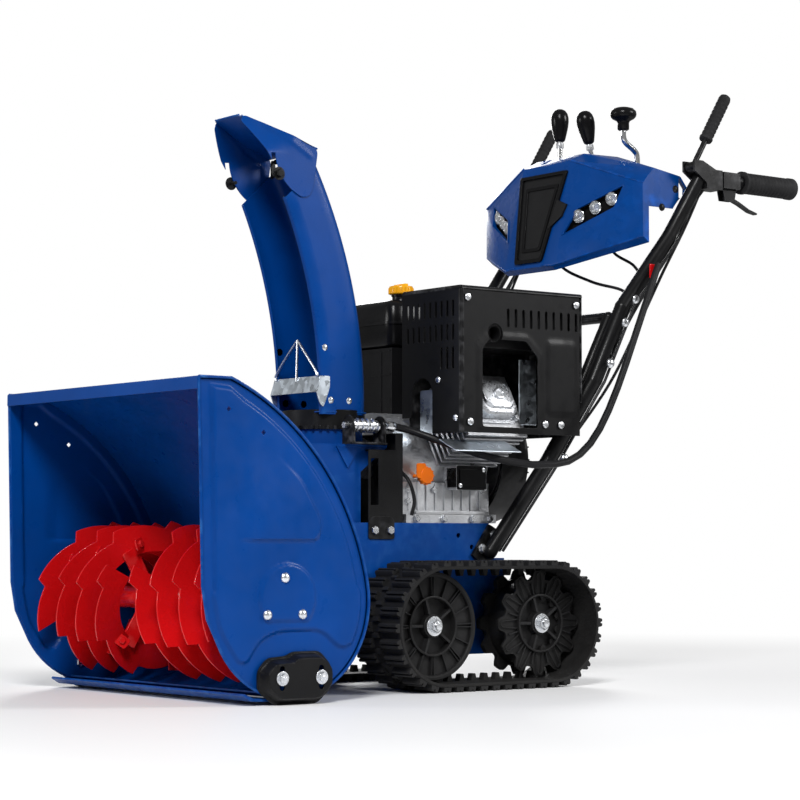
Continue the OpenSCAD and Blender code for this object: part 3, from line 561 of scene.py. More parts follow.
def sheet(name, loop, place, thickness, body, material, holes=(), relief=None, step=0.004,
          bevel=0.0005, **extra):
    """A pressed sheet: an outline with holes, and a grid of points inside for a relief to raise."""
    loops = [dense(loop, step * 1.5)] + [dense(hole, step) for hole in holes]
    points, edges = [], []
    for ring in loops:
        start = len(points)
        points += ring
        edges += [(start + i, start + (i + 1) % len(ring)) for i in range(len(ring))]
    border = np.array(points)
    if relief is not None:
        low, high = border.min(0), border.max(0)
        grid = np.stack(np.meshgrid(np.arange(low[0], high[0], step), np.arange(low[1], high[1], step)), -1)
        grid = grid.reshape(-1, 2)
        keep = inside(grid, loops[0])
        for ring in loops[1:]:
            keep &= ~inside(grid, ring)
        for ring in loops:
            keep &= distance(grid, list(ring) + [ring[0]]) > step * 0.6
        points += [tuple(p) for p in grid[keep]]
    result = delaunay_2d_cdt([Vector(p) for p in points], edges, [], 0, 1e-7)
    flat, triangles = result[0], result[2]
    flat = np.array([(p.x, p.y) for p in flat])
    middles = np.array([flat[list(t)].mean(0) for t in triangles])
    wanted = inside(middles, loops[0])
    for ring in loops[1:]:
        wanted &= ~inside(middles, ring)
    faces = [t for t, ok in zip(triangles, wanted) if ok]
    heights = relief(flat) if relief is not None else np.zeros(len(flat))
    return shell(name, flat, faces, heights, place, thickness, body, material, bevel, **extra)


def shell(name, flat, faces, heights, place, thickness, body, material, bevel, **extra):
    """Gives a raised sheet its thickness: a front, a back, and a wall along every open edge."""
    count = len(flat)
    verts = [place(a, b, h) for (a, b), h in zip(flat, heights)]
    verts += [place(a, b, h - thickness) for (a, b), h in zip(flat, heights)]
    used = {}
    for face in faces:
        for i in range(len(face)):
            used[(face[i], face[(i + 1) % len(face)])] = True
    walls = [(b, a, count + a, count + b) for a, b in used if (b, a) not in used]
    back = [tuple(count + i for i in reversed(face)) for face in faces]
    build = Build()
    build.add(verts, [tuple(f) for f in faces] + back + walls)
    return build.piece(name, material, body, bevel, 40.0, **extra)


def dense(loop, step):
    """The same outline with points no further apart than step."""
    result = []
    for a, b in zip(loop, list(loop[1:]) + [loop[0]]):
        a, b = Vector(a), Vector(b)
        parts = max(1, math.ceil((b - a).length / step))
        for i in range(parts):
            point = a.lerp(b, i / parts)
            result.append((point.x, point.y))
    return result


def through(points, n=8):
    """A smooth path through points (Catmull-Rom)."""
    points = [Vector(p) for p in points]
    ends = [2 * points[0] - points[1]] + points + [2 * points[-1] - points[-2]]
    result = []
    for p0, p1, p2, p3 in zip(ends, ends[1:], ends[2:], ends[3:]):
        for i in range(n):
            t = i / n
            result.append(0.5 * (2 * p1 + (p2 - p0) * t + (2 * p0 - 5 * p1 + 4 * p2 - p3) * t * t
                                 + (3 * p1 - p0 - 3 * p2 + p3) * t * t * t))
    result.append(points[-1])
    return result


# ---------- auger housing ----------

AUGER_Z = JOINT["auger_spin"].z
PLATE_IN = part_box("left_side_plate")[0].x
PLATE_OUT = PLATE_IN + 0.003
HOUSE_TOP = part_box("left_side_plate")[1].z
MOUTH_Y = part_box("left_side_plate")[0].y

BARREL = (0.015, AUGER_Z)
BARREL_R = 0.1395
BACK = (BARREL[0] - 0.255, BARREL[1] - 0.049)
BACK_R = math.hypot(0.255, 0.049) + BARREL_R
BLEND = math.degrees(math.atan2(0.049, 0.255))
TOP_TURN = math.degrees(math.asin((HOUSE_TOP - BACK[1]) / BACK_R))


def side_outline():
    """A side plate's outline as (y, z): two arcs that meet behind, and a raked front edge."""
    return ([(MOUTH_Y, HOUSE_TOP)] + arc(BACK, BACK_R, TOP_TURN, BLEND, 28)
            + arc(BARREL, BARREL_R, BLEND, -156, 30)[1:] + [(-0.130, 0.125), (-0.138, 0.170)])


def side_relief(points):
    """The pressed shapes of a side plate: a raised field arched over the shoe, and two raised islands."""
    inset = 0.020
    field = ([(-0.124, 0.456), (-0.092, 0.453)] + arc(BACK, BACK_R - inset, TOP_TURN - 5, BLEND, 24)
             + arc(BARREL, BARREL_R - 0.015, BLEND, -30, 10)[1:]
             + rounded([(0.116, 0.080), (0.100, 0.080), (0.068, 0.106), (-0.008, 0.106), (-0.040, 0.094),
                        (-0.062, 0.062), (-0.076, 0.062), (-0.108, 0.108), (-0.121, 0.170)], 0.016)[2:-2])
    window = rounded([(-0.095, 0.236), (0.060, 0.236), (0.066, 0.262), (0.030, 0.324), (-0.040, 0.382),
                      (-0.095, 0.400)], 0.014)
    fade = smooth((points[:, 0] + 0.082) / 0.03) * smooth((0.365 - points[:, 1]) / 0.09)
    hub = arc((0.006, AUGER_Z + 0.006), 0.049, -42, 222, 22)
    return (0.0046 * pad(points, field, 0.006) + 0.0040 * pad(points, window, 0.005) * fade
            + 0.0034 * pad(points, hub, 0.005))


def square_hole(y, z, half=0.004):
    return [(y, z - half), (y + half, z), (y, z + half), (y - half, z)]


def side_plates():
    holes = [square_hole(-0.096, 0.423), square_hole(-0.036, 0.391)]
    step = 0.003 if FINE else 0.006
    for side, where in each_side(in_yz(PLATE_OUT - 0.0030)):
        name = side + "_side_plate"
        sheet(name + "_pressed", side_outline(), where, 0.0022, "frame", BLUE, holes, side_relief, step,
              stands_for=[name])
    # rolled rim where the plate meets the wrapped sheet
    rim = [(PLATE_OUT - 0.0005, a, b) for a, b in side_outline()]
    rim_path = Build().tube(rim + rim[:2], 0.0022, 8)
    rim_path.both_sides().piece("side_plate_rims", BLUE, bevel=0.0)


def housing_lip():
    """The folded lip along the housing's top front edge, and the looks of its CAD shapes."""
    lip = Build()
    profile = [(MOUTH_Y - 0.003, HOUSE_TOP - 0.018), (MOUTH_Y - 0.003, HOUSE_TOP - 0.001),
               (MOUTH_Y - 0.001, HOUSE_TOP + 0.001), (MOUTH_Y + 0.020, HOUSE_TOP + 0.001),
               (MOUTH_Y + 0.020, HOUSE_TOP - 0.001), (MOUTH_Y, HOUSE_TOP - 0.001),
               (MOUTH_Y, HOUSE_TOP - 0.018)]
    lip.prism(profile, -PLATE_OUT, PLATE_OUT, ACROSS)
    lip.piece("housing_lip", BLUE, bevel=0.0008)
    cad_finish("auger_housing", BLUE, 0.0006, 25)
    cad_finish("scraper_blade", BLUE, 0.0008)
    cad_finish("impeller_housing", BLUE, 0.0008)
    cad_finish("shaft_bearings", IRON, 0.0012)


BEARING_CIRCLE = 0.0354
SHOE_BOLTS = (-0.015, 0.054)
SHOE_BOLT_Z = 0.039
SHOE_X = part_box("left_skid")[1].x


def housing_bolts():
    """Bearing bolts and shoe bolts through both side plates."""
    build = Build()
    for i in range(3):
        turn = math.radians(120 * i)
        y = BEARING_CIRCLE * math.sin(turn)
        z = AUGER_Z + BEARING_CIRCLE * math.cos(turn)
        build.lathe([(0.0078, 0.0), (0.0078, 0.0012), (0.0066, 0.0032), (0.0040, 0.0048),
                     (0.0008, 0.0054)], (PLATE_OUT + 0.0040, y, z), n=24)
        build.rod(0.004, -0.010, 0.004, (PLATE_OUT, y, z), n=16)
        build.hex_bolt((PLATE_IN - 0.004, y, z), (-1, 0, 0), washer=0.0085)
    for y in SHOE_BOLTS:
        build.hex_bolt((SHOE_X, y, SHOE_BOLT_Z), X, 0.0135, 0.006, washer=0.0105)
        build.lathe([(0.0028, 0.0), (0.0024, 0.0022)], (SHOE_X + 0.007, y, SHOE_BOLT_Z), n=16)
        build.rod(0.004, 0.0, 0.030, (PLATE_IN - 0.006, y, SHOE_BOLT_Z), n=16)
        build.hex_bolt((PLATE_IN, y, SHOE_BOLT_Z), (-1, 0, 0), washer=0.010)
    build.both_sides().piece("housing_bolts", ZINC, bevel=0.0003, stands_for=["housing_fasteners"])


def shoes():
    """The height adjustable skid shoes: dished plates with two slots each."""
    outer = rounded([(-0.019, 0.0), (0.058, 0.0), (0.083, 0.022), (0.083, 0.055), (0.062, 0.076),
                     (0.014, 0.076), (0.002, 0.070), (-0.030, 0.068), (-0.047, 0.050), (-0.047, 0.022)],
                    0.008)
    inner = rounded([(-0.015, 0.006), (0.054, 0.006), (0.077, 0.026), (0.077, 0.052), (0.058, 0.070),
                     (0.016, 0.070), (0.006, 0.064), (-0.026, 0.062), (-0.041, 0.047), (-0.041, 0.026)],
                    0.008)
    reach = 0.0175
    slots = [slot_loop(y, SHOE_BOLT_Z - reach, SHOE_BOLT_Z + reach, 0.0045, 8) for y in SHOE_BOLTS]

    def relief(points):
        field = pad(points, inner, 0.007)
        return 0.0165 * (field - 1)

    for side, where in each_side(in_yz(SHOE_X)):
        name = side + "_skid"
        sheet(name + "_pressed", outer, where, 0.0030, name, BLACK, slots, relief, 0.002, stands_for=[name])


# ---------- augers ----------

AUGER_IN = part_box("left_auger")[0].x
AUGER_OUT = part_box("left_auger")[1].x
AUGER_R = 0.122
RIBBON_PITCH = 0.180
RIBBON_IN = 0.072
TOOTH = 45.0
RIBBON_HALF = 0.0015
RIBBON_LAG = 3.5
TOOTH_DEPTH = 0.016


def auger_point(x, turn, r):
    """A point on the left auger: the turn is in degrees from straight down, and grows down the front."""
    a = math.radians(turn)
    return (x, r * math.sin(a), AUGER_Z - r * math.cos(a))


def tooth_radius(turn):
    """A saw tooth that grows to its tip and then drops back."""
    t = (turn % TOOTH) / TOOTH
    return AUGER_R - TOOTH_DEPTH * (1 - t) ** 1.15


def ribbon_columns(start):
    """Turns at which the ribbon has a row of points, with a close pair on each side of a tooth's drop."""
    length = AUGER_OUT - AUGER_IN
    total = 360 * length / RIBBON_PITCH
    turns = [start + total * i / 92 for i in range(93)]
    k = math.ceil(start / TOOTH)
    while k * TOOTH < start + total:
        turns += [k * TOOTH - 0.05, k * TOOTH + 1.2]
        k += 1
    return sorted(t for t in turns if start <= t <= start + total)


def add_ribbon(build, start, phase):
    """A toothed ribbon wound along the shaft, from a start in degrees."""
    rows = []
    for turn in ribbon_columns(start):
        x = AUGER_IN + (turn - start) / 360 * RIBBON_PITCH
        outer = tooth_radius(turn + phase)
        radii = [RIBBON_IN, (RIBBON_IN + outer) / 2, outer]
        section = [(r, -RIBBON_HALF) for r in radii] + [(r, RIBBON_HALF) for r in reversed(radii)]
        rows.append([auger_point(x + dx, turn + RIBBON_LAG, r) for r, dx in section])
    build.loft(rows)


def add_tab(build, bolts, start, turn):
    """A small bent tab that joins two lengths of ribbon, with its bolt."""
    x = AUGER_IN + (turn - start) / 360 * RIBBON_PITCH
    centre = Vector(auger_point(x - 0.006, turn + RIBBON_LAG, RIBBON_IN + 0.016))
    radial = (centre - Vector((centre.x, 0, AUGER_Z))).normalized()
    along = Vector(X).cross(radial)
    tilt = (Vector(X) * 0.9 + along * 0.45).normalized()
    side = tilt.cross(radial)
    turn_to = Matrix((
        (side.x, radial.x, tilt.x, centre.x), (side.y, radial.y, tilt.y, centre.y),
        (side.z, radial.z, tilt.z, centre.z), (0, 0, 0, 1)))
    build.prism(rounded(rectangle(-0.011, 0.011, -0.009, 0.009), 0.004), -0.0015, 0.0015, UPWARD, turn_to)
    bolts.hex_bolt(centre + tilt * -0.0016, -tilt, 0.010, 0.004)


def augers():
    for side in SIDES:
        build, bolts = Build(), Build()
        length = AUGER_OUT - AUGER_IN
        build.rod(0.0172, 0.0, length, (AUGER_IN, 0, AUGER_Z))
        for i in range(3):
            start = i * 120.0
            add_ribbon(build, start, 15.0)
            for turn in (start + 75, start + 215, start + 345):
                add_tab(build, bolts, start, turn)
            for share in (0.2, 0.82):
                turn = start + share * 360 * length / RIBBON_PITCH + 6
                x = AUGER_IN + share * length
                radial = spun((x, 0, AUGER_Z), math.radians(turn))
                arm = rounded(wedge(0.014, 0.012, -RIBBON_IN - 0.012, -0.014), 0.004)
                build.prism(arm, -0.002, 0.002, ACROSS, radial)
        build.on(side).piece(side + "_auger_ribbons", RED, "auger", bevel=0.0007, angle=38,
                             stands_for=[side + "_auger"])
        bolts.on(side).piece(side + "_auger_bolts", RED, "auger", bevel=0.0002)


def gearbox():
    """The cast gear housing in the middle of the augers, with its joint flange and bolts."""
    build = Build()
    build.lathe([(0.016, -0.036), (0.022, -0.034), (0.024, -0.026), (0.036, -0.020), (0.041, -0.010),
                 (0.041, 0.010), (0.036, 0.020), (0.024, 0.026), (0.022, 0.034), (0.016, 0.036)],
                (0, 0, AUGER_Z), n=48)
    shaft_z = JOINT["impeller_spin"].z
    build.lathe([(0.010, -0.038), (0.020, -0.036), (0.023, -0.032), (0.023, -0.026), (0.019, -0.024),
                 (0.019, 0.056), (0.023, 0.058), (0.023, 0.066), (0.018, 0.068)], (0, 0, shaft_z), Y, 40)
    build.collar(0.034, 0.046, -0.002, 0.002, (0, 0, AUGER_Z), n=48)
    for i in range(6):
        turn = math.radians(60 * i + 15)
        build.hex_bolt((0.002, 0.0415 * math.sin(turn), AUGER_Z + 0.0415 * math.cos(turn)), X, 0.008, 0.004)
    build.piece("gearbox_casting", RED, bevel=0.0006, stands_for=["gearbox_case"])
    cad_finish("auger_shaft", STEEL, 0.0005)
    cad_finish("worm_wheel", BRONZE, 0.0)
    cad_finish("impeller", RED, 0.0008)
    cad_finish("impeller_shaft", STEEL, 0.0003)
    cad_finish("impeller_pulley", IRON, 0.0008)
    cad_finish("crankshaft", IRON, 0.0008)
    cad_finish("drive_belts", TRACK, 0.0004)


side_plates()
housing_lip()
housing_bolts()
shoes()
augers()
gearbox()


# ---------- tracks ----------

AXLE_Z = JOINT["left_rear_wheel_spin"].z
AXLES_Y = (JOINT["left_front_wheel_spin"].y, JOINT["left_rear_wheel_spin"].y)
TRACK_X = (0.104, 0.222)
CARCASS_R = 0.094
TREAD_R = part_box("track_belts")[1].z - AXLE_Z
BELT_IN_R = 0.0885
LUGS = 42


def track_frame(s, r=CARCASS_R):
    """Where a belt's round is centred, and which way is outward, a distance s round it at radius r."""
    run = AXLES_Y[1] - AXLES_Y[0]
    half = math.pi * r
    s %= 2 * (run + half)
    if s < run:
        return Vector((AXLES_Y[0] + s, AXLE_Z)), Vector((0.0, 1.0))
    s -= run
    if s < half:
        turn = math.pi / 2 - s / r
        return Vector((AXLES_Y[1], AXLE_Z)), Vector((math.cos(turn), math.sin(turn)))
    s -= half
    if s < run:
        return Vector((AXLES_Y[1] - s, AXLE_Z)), Vector((0.0, -1.0))
    turn = -math.pi / 2 - (s - run) / r
    return Vector((AXLES_Y[0], AXLE_Z)), Vector((math.cos(turn), math.sin(turn)))


def track_length(r=CARCASS_R):
    return 2 * (AXLES_Y[1] - AXLES_Y[0] + math.pi * r)


def add_track_prism(build, s, profile, x0, x1):
    """A block on the belt from x0 to x1, with a profile of (distance along the belt, radius)."""
    centre, out = track_frame(s)
    along = Vector((out.y, -out.x))
    build.prism(profile, x0, x1, lambda a, r, h: (h, *(centre + out * r + along * a)))


def track_belts():
    """Each belt: its carcass, two rows of lugs, middle knobs and inner teeth."""
    for side in SIDES:
        build = Build()
        x0, x1 = TRACK_X
        section = [(x0, BELT_IN_R), (x1, BELT_IN_R), (x1, CARCASS_R - 0.0015), (x1 - 0.002, CARCASS_R),
                   (x0 + 0.002, CARCASS_R), (x0, CARCASS_R - 0.0015)]
        rows = []
        for i in range(4 * LUGS):
            centre, out = track_frame(track_length() * i / (4 * LUGS))
            rows.append([(x, *(centre + out * r)) for x, r in section])
        build.loft(rows, closed=True)
        lug = [(-0.0078, CARCASS_R - 0.002), (0.0078, CARCASS_R - 0.002), (0.0066, TREAD_R - 0.002),
               (0.0050, TREAD_R), (0.0016, TREAD_R), (0.0008, TREAD_R - 0.0035),
               (-0.0008, TREAD_R - 0.0035), (-0.0016, TREAD_R), (-0.0050, TREAD_R),
               (-0.0066, TREAD_R - 0.002)]
        knob = wedge(0.0045, 0.0030, CARCASS_R - 0.002, TREAD_R - 0.003)
        tooth = wedge(0.0060, 0.0030, BELT_IN_R + 0.001, 0.0775)
        middle = (x0 + x1) / 2
        for i in range(LUGS):
            s = track_length() * i / LUGS
            add_track_prism(build, s, lug, x0 + 0.0015, middle - 0.012)
            add_track_prism(build, s, lug, middle + 0.012, x1 - 0.0015)
            add_track_prism(build, s + track_length() / LUGS / 2, knob, middle - 0.008, middle + 0.008)
            add_track_prism(build, s, tooth, 0.152, 0.164)
        build.on(side).piece(side + "_belt", TRACK, bevel=0.0005, segments=1, stands_for=["track_belts"])


def add_radial_bar(build, origin, turn, r0, r1, half, x0, x1):
    """A straight rib out from a wheel's middle."""
    spin = spun(origin, turn)
    build.prism(rectangle(-half, half, r0, r1), x0, x1, ACROSS, spin)


WHEEL_R = 0.085
DRUM_R = 0.068
BORE_R = 0.01015
WHEEL_FACE = 0.1855


def wheel_common(build, origin):
    """The drum, both discs' plain parts, the hub and its five spokes."""
    build.collar(DRUM_R - 0.004, DRUM_R, 0.124, 0.176, origin, n=72)
    build.ring([(BORE_R, 0.124), (0.019, 0.124), (0.019, WHEEL_FACE - 0.001), (0.018, WHEEL_FACE),
                (BORE_R, WHEEL_FACE)], origin, n=40)
    build.collar(0.018, 0.046, 0.168, 0.172, origin, n=56)
    build.ring([(0.0435, 0.168), (0.0475, 0.168), (0.0475, WHEEL_FACE - 0.0005), (0.0465, WHEEL_FACE),
                (0.0445, WHEEL_FACE), (0.0435, WHEEL_FACE - 0.001)], origin, n=56)
    for i in range(5):
        add_radial_bar(build, origin, TAU * i / 5 + 0.3, 0.017, 0.045, 0.0022, 0.170, WHEEL_FACE - 0.0025)


def idler_wheel(origin):
    """The front wheel: a full rim with thin ribs across a recessed web."""
    build = Build()
    wheel_common(build, origin)
    build.collar(0.044, 0.079, 0.175, 0.1785, origin, n=72)
    build.ring([(0.077, 0.174), (0.083, 0.174), (WHEEL_R, 0.176), (WHEEL_R, WHEEL_FACE - 0.0015),
                (WHEEL_R - 0.0012, WHEEL_FACE), (0.0795, WHEEL_FACE), (0.077, WHEEL_FACE - 0.002)],
               origin, n=96)
    build.collar(0.060, WHEEL_R, 0.123, 0.1325, origin, n=96)
    for i in range(16):
        turns = (0.0,) if i % 2 else (-0.035, 0.035)
        for offset in turns:
            add_radial_bar(build, origin, TAU * i / 16 + offset, 0.046, 0.079, 0.0008, 0.178,
                           WHEEL_FACE - 0.002)
    return build


def gear_outline(root, tip, teeth):
    """A closed outline with rounded teeth."""
    points = []
    for i in range(teeth * 12):
        turn = TAU * i / (teeth * 12)
        wave = 0.5 + 0.5 * math.cos(teeth * turn)
        r = root + (tip - root) * float(smooth(np.array(wave * 1.35 - 0.1)))
        points.append((r * math.cos(turn), r * math.sin(turn)))
    return points


def sprocket_wheel(origin):
    """The rear wheel: a toothed disc with a hairpin rib out to each tooth."""
    build = Build()
    wheel_common(build, origin)
    outline = gear_outline(0.0715, WHEEL_R, 12)
    shift = Matrix.Translation(origin)
    for x0, x1 in ((0.174, 0.1785), (0.123, 0.1325)):
        outer, inner = ([[(x, a * share, b * share) for a, b in outline] for x in (x0, x1)]
                        for share in (1.0, 0.044 / WHEEL_R))
        build.loft([outer[0], inner[0], inner[1], outer[1]], True, shift)
    for i in range(12):
        spin = spun(origin, TAU * i / 12)
        hairpin = [(0.047, -0.0070), (0.072, -0.0052), *arc((0.077, 0.0), 0.0048, -80, 80, 8),
                   (0.072, 0.0052), (0.047, 0.0070)]
        build.tube([spin @ Vector((0.181, a, b)) for a, b in hairpin], 0.0011, 6)
        add_radial_bar(build, origin, TAU * (i + 0.5) / 12, 0.046, 0.067, 0.0009, 0.178, WHEEL_FACE - 0.003)
    return build


def wheels():
    """Both wheels of both tracks."""
    for side in SIDES:
        for which, maker, y in (("front", idler_wheel, AXLES_Y[0]), ("rear", sprocket_wheel, AXLES_Y[1])):
            build = maker((0.0, y, AXLE_Z))
            name = f"{side}_{which}_wheel"
            build.on(side).piece(name + "_moulding", WHEEL_PLASTIC, name, bevel=0.0004, segments=1,
                                 stands_for=[name])


# ---------- chute ----------

CHUTE_X = 0.062
SKIRT_Z = 0.437
CHANNEL_Z = 0.450
CHUTE_BACK = (0.313, 0.800, 28.6)
CHUTE_FRONT = (0.225, 0.784, 24.5)
HINGE = JOINT["deflector_tilt"]
CHUTE_AXIS = JOINT["chute_turn"]


def chute_edge(edge, share):
    """A point of the channel's back or front edge, as (y, z), at a share of its height."""
    y, radius, top = edge
    if share <= 0:
        return Vector((y, SKIRT_Z))
    turn = math.radians(top * share)
    return Vector((y - radius + radius * math.cos(turn), CHANNEL_Z + radius * math.sin(turn)))


def chute_section(back, front):
    """One level of the channel from its near front lip round the back to the far one."""
    depth = (front - back).length
    toward = (front - back).normalized()
    round_r = 0.015
    half = [(CHUTE_X - 0.007, depth), (CHUTE_X - 0.0015, depth), (CHUTE_X, depth - 0.002)]
    half += [(CHUTE_X, depth * k) for k in (0.75, 0.5, 0.3)]
    half += [(CHUTE_X - round_r + round_r * math.cos(a), round_r - round_r * math.sin(a))
             for a in (math.pi / 2 * k / 6 for k in range(7))]
    half += [(CHUTE_X * 0.4, 0.0)]
    line = half + [(-x, d) for x, d in reversed(half)]
    return [(x, *(back + toward * d)) for x, d in line]


def chute_sheet():
    """The chute's channel, open to the front."""
    build = Build()
    levels = [-1.0, 0.0] + [k / 24 for k in range(1, 25)]
    rows = [chute_section(chute_edge(CHUTE_BACK, t), chute_edge(CHUTE_FRONT, t)) for t in levels]
    build.grid(rows[::-1])
    build.piece("chute_channel", BLUE, "chute", bevel=0.0004, angle=40, solid=0.002, stands_for=["chute"])


def chute_ring():
    """The turning ring with its gear teeth, and the plate that joins it to the channel."""
    build = Build()
    centre = (0.0, CHUTE_AXIS.y, 0.0)
    build.ring([(0.0637, 0.412), (0.067, 0.412), (0.067, 0.4425), (0.066, 0.4435), (0.0637, 0.4435)],
               centre, Z, 96)
    for i in range(36):
        spin = spun(centre, TAU * i / 36, "Z")
        build.prism(tapered(0.065, 0.0710, 0.0032, 0.0019), 0.412, 0.418, UPWARD, spin)
    outline = rounded(rectangle(-0.064, 0.064, 0.222, 0.316), 0.012)
    circle = arc((0.0, CHUTE_AXIS.y), 0.060, 0, 354, 59)
    sheet("chute_base_plate", dense(outline, 0.006), in_xy(0.4405), 0.0022, "chute", BLUE, [circle])
    build.piece("chute_ring_gear", BLACK, "chute", bevel=0.0004)


def chute_small_parts():
    """The channel's bolts, the hinge lugs and the beads across its back."""
    bolts = Build()
    for y, z in ((0.229, 0.541), (0.241, 0.458), (0.277, 0.458)):
        bolts.lathe([(0.0062, 0.0), (0.0058, 0.0016), (0.0035, 0.0032), (0.0008, 0.0036)],
                    (CHUTE_X, y, z), n=20)
    bolts.both_sides()
    bolts.piece("chute_bolts", ZINC, "chute", bevel=0.0002)
    hinges = Build()
    for x in (0.022, 0.050):
        lug = rounded([(0.2035, 0.820), (0.214, 0.826), (HINGE.y + 0.0038, HINGE.z - 0.002),
                       (HINGE.y + 0.0025, HINGE.z + 0.0032), (HINGE.y - 0.0025, HINGE.z + 0.0032),
                       (HINGE.y - 0.0038, HINGE.z - 0.003)], 0.002)
        hinges.prism(lug, x, x + 0.003, ACROSS)
    hinges.rod(0.0019, 0.0, 0.034, (0.0205, HINGE.y, HINGE.z), n=16)
    hinges.both_sides().piece("chute_hinge_lugs", BLACK, "chute", bevel=0.0004)
    plates = Build()
    for level in (0.30, 0.33):
        back = chute_edge(CHUTE_BACK, level)
        plates.tube([(-CHUTE_X + 0.012, back.x + 0.0008, back.y),
                     (CHUTE_X - 0.012, back.x + 0.0008, back.y)], 0.0012, 8)
    plates.piece("chute_back_beads", BLUE, "chute", bevel=0.0)


def chute_brace():
    """The folded brace across the chute's open front, the rods up from it, and the clamp bolts."""
    build = Build()
    y = CHUTE_FRONT[0]
    wide = CHUTE_X + 0.002
    fold = [(y - 0.013, 0.470), (y - 0.0115, 0.4695), (y - 0.0035, 0.4945), (y + 0.004, 0.4945),
            (y + 0.004, 0.496), (y - 0.0045, 0.496)]
    build.prism(fold, -wide, wide, ACROSS)
    leg = rounded([(y - 0.013, 0.470), (y - 0.004, 0.496), (y + 0.014, 0.496), (y + 0.014, 0.478),
                   (y + 0.008, 0.462), (y + 0.001, 0.446), (y - 0.006, 0.452)], 0.003)
    build.prism(leg, CHUTE_X + 0.0002, CHUTE_X + 0.002, ACROSS)
    build.prism(leg, -CHUTE_X - 0.002, -CHUTE_X - 0.0002, ACROSS)
    build.piece("chute_brace_folded", GALVANISED, "chute", bevel=0.0003, stands_for=["chute_brace"])
    rods = Build()
    top = (0.000, y - 0.004, 0.556)
    for x in (-CHUTE_X + 0.006, CHUTE_X - 0.006):
        rods.tube(through([(x, y - 0.007, 0.494), (x, y - 0.007, 0.502), (x * 0.5, y - 0.006, 0.530),
                           top], 6), 0.0022, 10)
    rods.tube([(0.0, y - 0.006, 0.490), top], 0.0022, 10)
    angle = math.radians(209)
    clamp_y = HINGE.y + CLAMP_R * math.cos(angle)
    clamp_z = HINGE.z + CLAMP_R * math.sin(angle)
    clamps = Build()
    clamps.rod(0.003, -0.008, 0.004, (CHUTE_X, clamp_y, clamp_z), n=14)
    clamps.rod(0.0105, 0.0, 0.0014, (CHUTE_X + 0.0052, clamp_y, clamp_z), n=28)
    clamps.hex_bolt((CHUTE_X + 0.0066, clamp_y, clamp_z), X, 0.012, 0.005)
    rods.piece("chute_rods", ZINC, "chute", bevel=0.0003)
    clamps.both_sides().piece("deflector_clamps", BLACK, "chute", bevel=0.0003)


# ---------- deflector hood ----------

CLAMP_R = 0.080
HOOD_X = CHUTE_X + 0.0045
HOOD_BACK = (HINGE.y + 0.0045, HINGE.z + 0.0080)
HOOD_FRONT = (0.084, 0.901)
HOOD_LOBE = (0.150, 0.792)
HOOD_TAPER = 0.030
HOOD_REACH = math.hypot(HOOD_FRONT[0] - HINGE.y, HOOD_FRONT[1] - HINGE.z)
TAPER_START = 183.0
TAPER_END = 160.0


def hood_half(y, z):
    """Half the hood's width: full where it can slide past the chute, then tapering to its front."""
    turn = math.degrees(math.atan2(z - HINGE.z, y - HINGE.y)) % 360
    out = math.hypot(y - HINGE.y, z - HINGE.z) / HOOD_REACH
    round_share = min(max((TAPER_START - turn) / (TAPER_START - TAPER_END), 0.0), 1.0)
    out_share = min(max((out - 0.35) / 0.65, 0.0), 1.0)
    return HOOD_X - HOOD_TAPER * round_share * out_share


def hood_slot():
    """The curved slot that rides on the clamp bolt."""
    return band((HINGE.y, HINGE.z), CLAMP_R + 0.0042, CLAMP_R - 0.0042, 184.6, 251.4, 16)


def hood_side():
    """The hood's side, from the hinge round the lower lobe and up to the front corner."""
    return rounded([(HINGE.y + 0.006, HINGE.z + 0.0065), (HOOD_FRONT[0] + 0.006, HOOD_FRONT[1]),
                    (HOOD_FRONT[0] + 0.001, HOOD_FRONT[1] - 0.010), HOOD_LOBE, (0.176, 0.776),
                    (0.196, 0.778), (0.204, 0.794)], 0.010, 5)


def deflector_sides():
    """The hood's side plates, with their slots and a faint rib."""
    outline = dense(hood_side(), 0.006)

    def relief(points):
        return 0.0012 * ridge(points, [(HINGE.y - 0.01, HINGE.z - 0.004), (0.118, 0.888)], 0.006)

    def side_place(a, b, h):
        return (hood_half(a, b) + h, a, b)

    for side, where in each_side(side_place):
        sheet(f"deflector_{side}_side", outline, where, 0.002, "deflector", BLUE, [hood_slot()], relief,
              0.0045, stands_for=["deflector"])


def deflector_top():
    """The hood's top panel, in steps that follow its taper."""
    (y0, z0), (y1, z1) = HOOD_BACK, HOOD_FRONT
    rows = []
    for share in (0.0, 0.2, 0.35, 0.5, 0.65, 0.8, 0.93, 1.0):
        y = y0 + (y1 - y0) * share
        z = z0 + (z1 - z0) * share
        half = hood_half(y, z) - (0.004 if share > 0.95 else 0.0)
        rows.append([(half * k / 4, y, z) for k in range(-4, 5)])
    Build().grid(rows).piece("deflector_top", BLUE, "deflector", bevel=0.0004, solid=-0.002)


def deflector_fittings():
    """Beads along the hood's edges, and the hinge barrels between the chute's lugs."""
    (y0, z0), (y1, z1) = HOOD_BACK, HOOD_FRONT
    rim = Build()
    front_half = hood_half(y1, z1) - 0.0005
    for side in (-1, 1):
        rim.tube([(side * (HOOD_X - 0.0005), y0, z0 - 0.0005),
                  (side * front_half, y1 + 0.003, z1 - 0.0012)], 0.0016, 8)
    rim.tube([(-front_half + 0.003, y1, z1), (front_half - 0.003, y1, z1)], 0.0016, 8)
    rim.piece("deflector_rims", BLUE, "deflector", bevel=0.0)
    barrel = Build()
    for x in (0.0265, 0.0325, 0.0385):
        barrel.collar(0.0021, 0.0042, 0.0, 0.0052, (x, HINGE.y, HINGE.z), n=24)
    barrel.both_sides().piece("deflector_hinge_barrels", BLACK, "deflector", bevel=0.0003)


track_belts()
wheels()
chute_sheet()
chute_ring()
chute_small_parts()
chute_brace()
deflector_sides()
deflector_top()
deflector_fittings()


# ---------- worm bracket, chassis and covers ----------

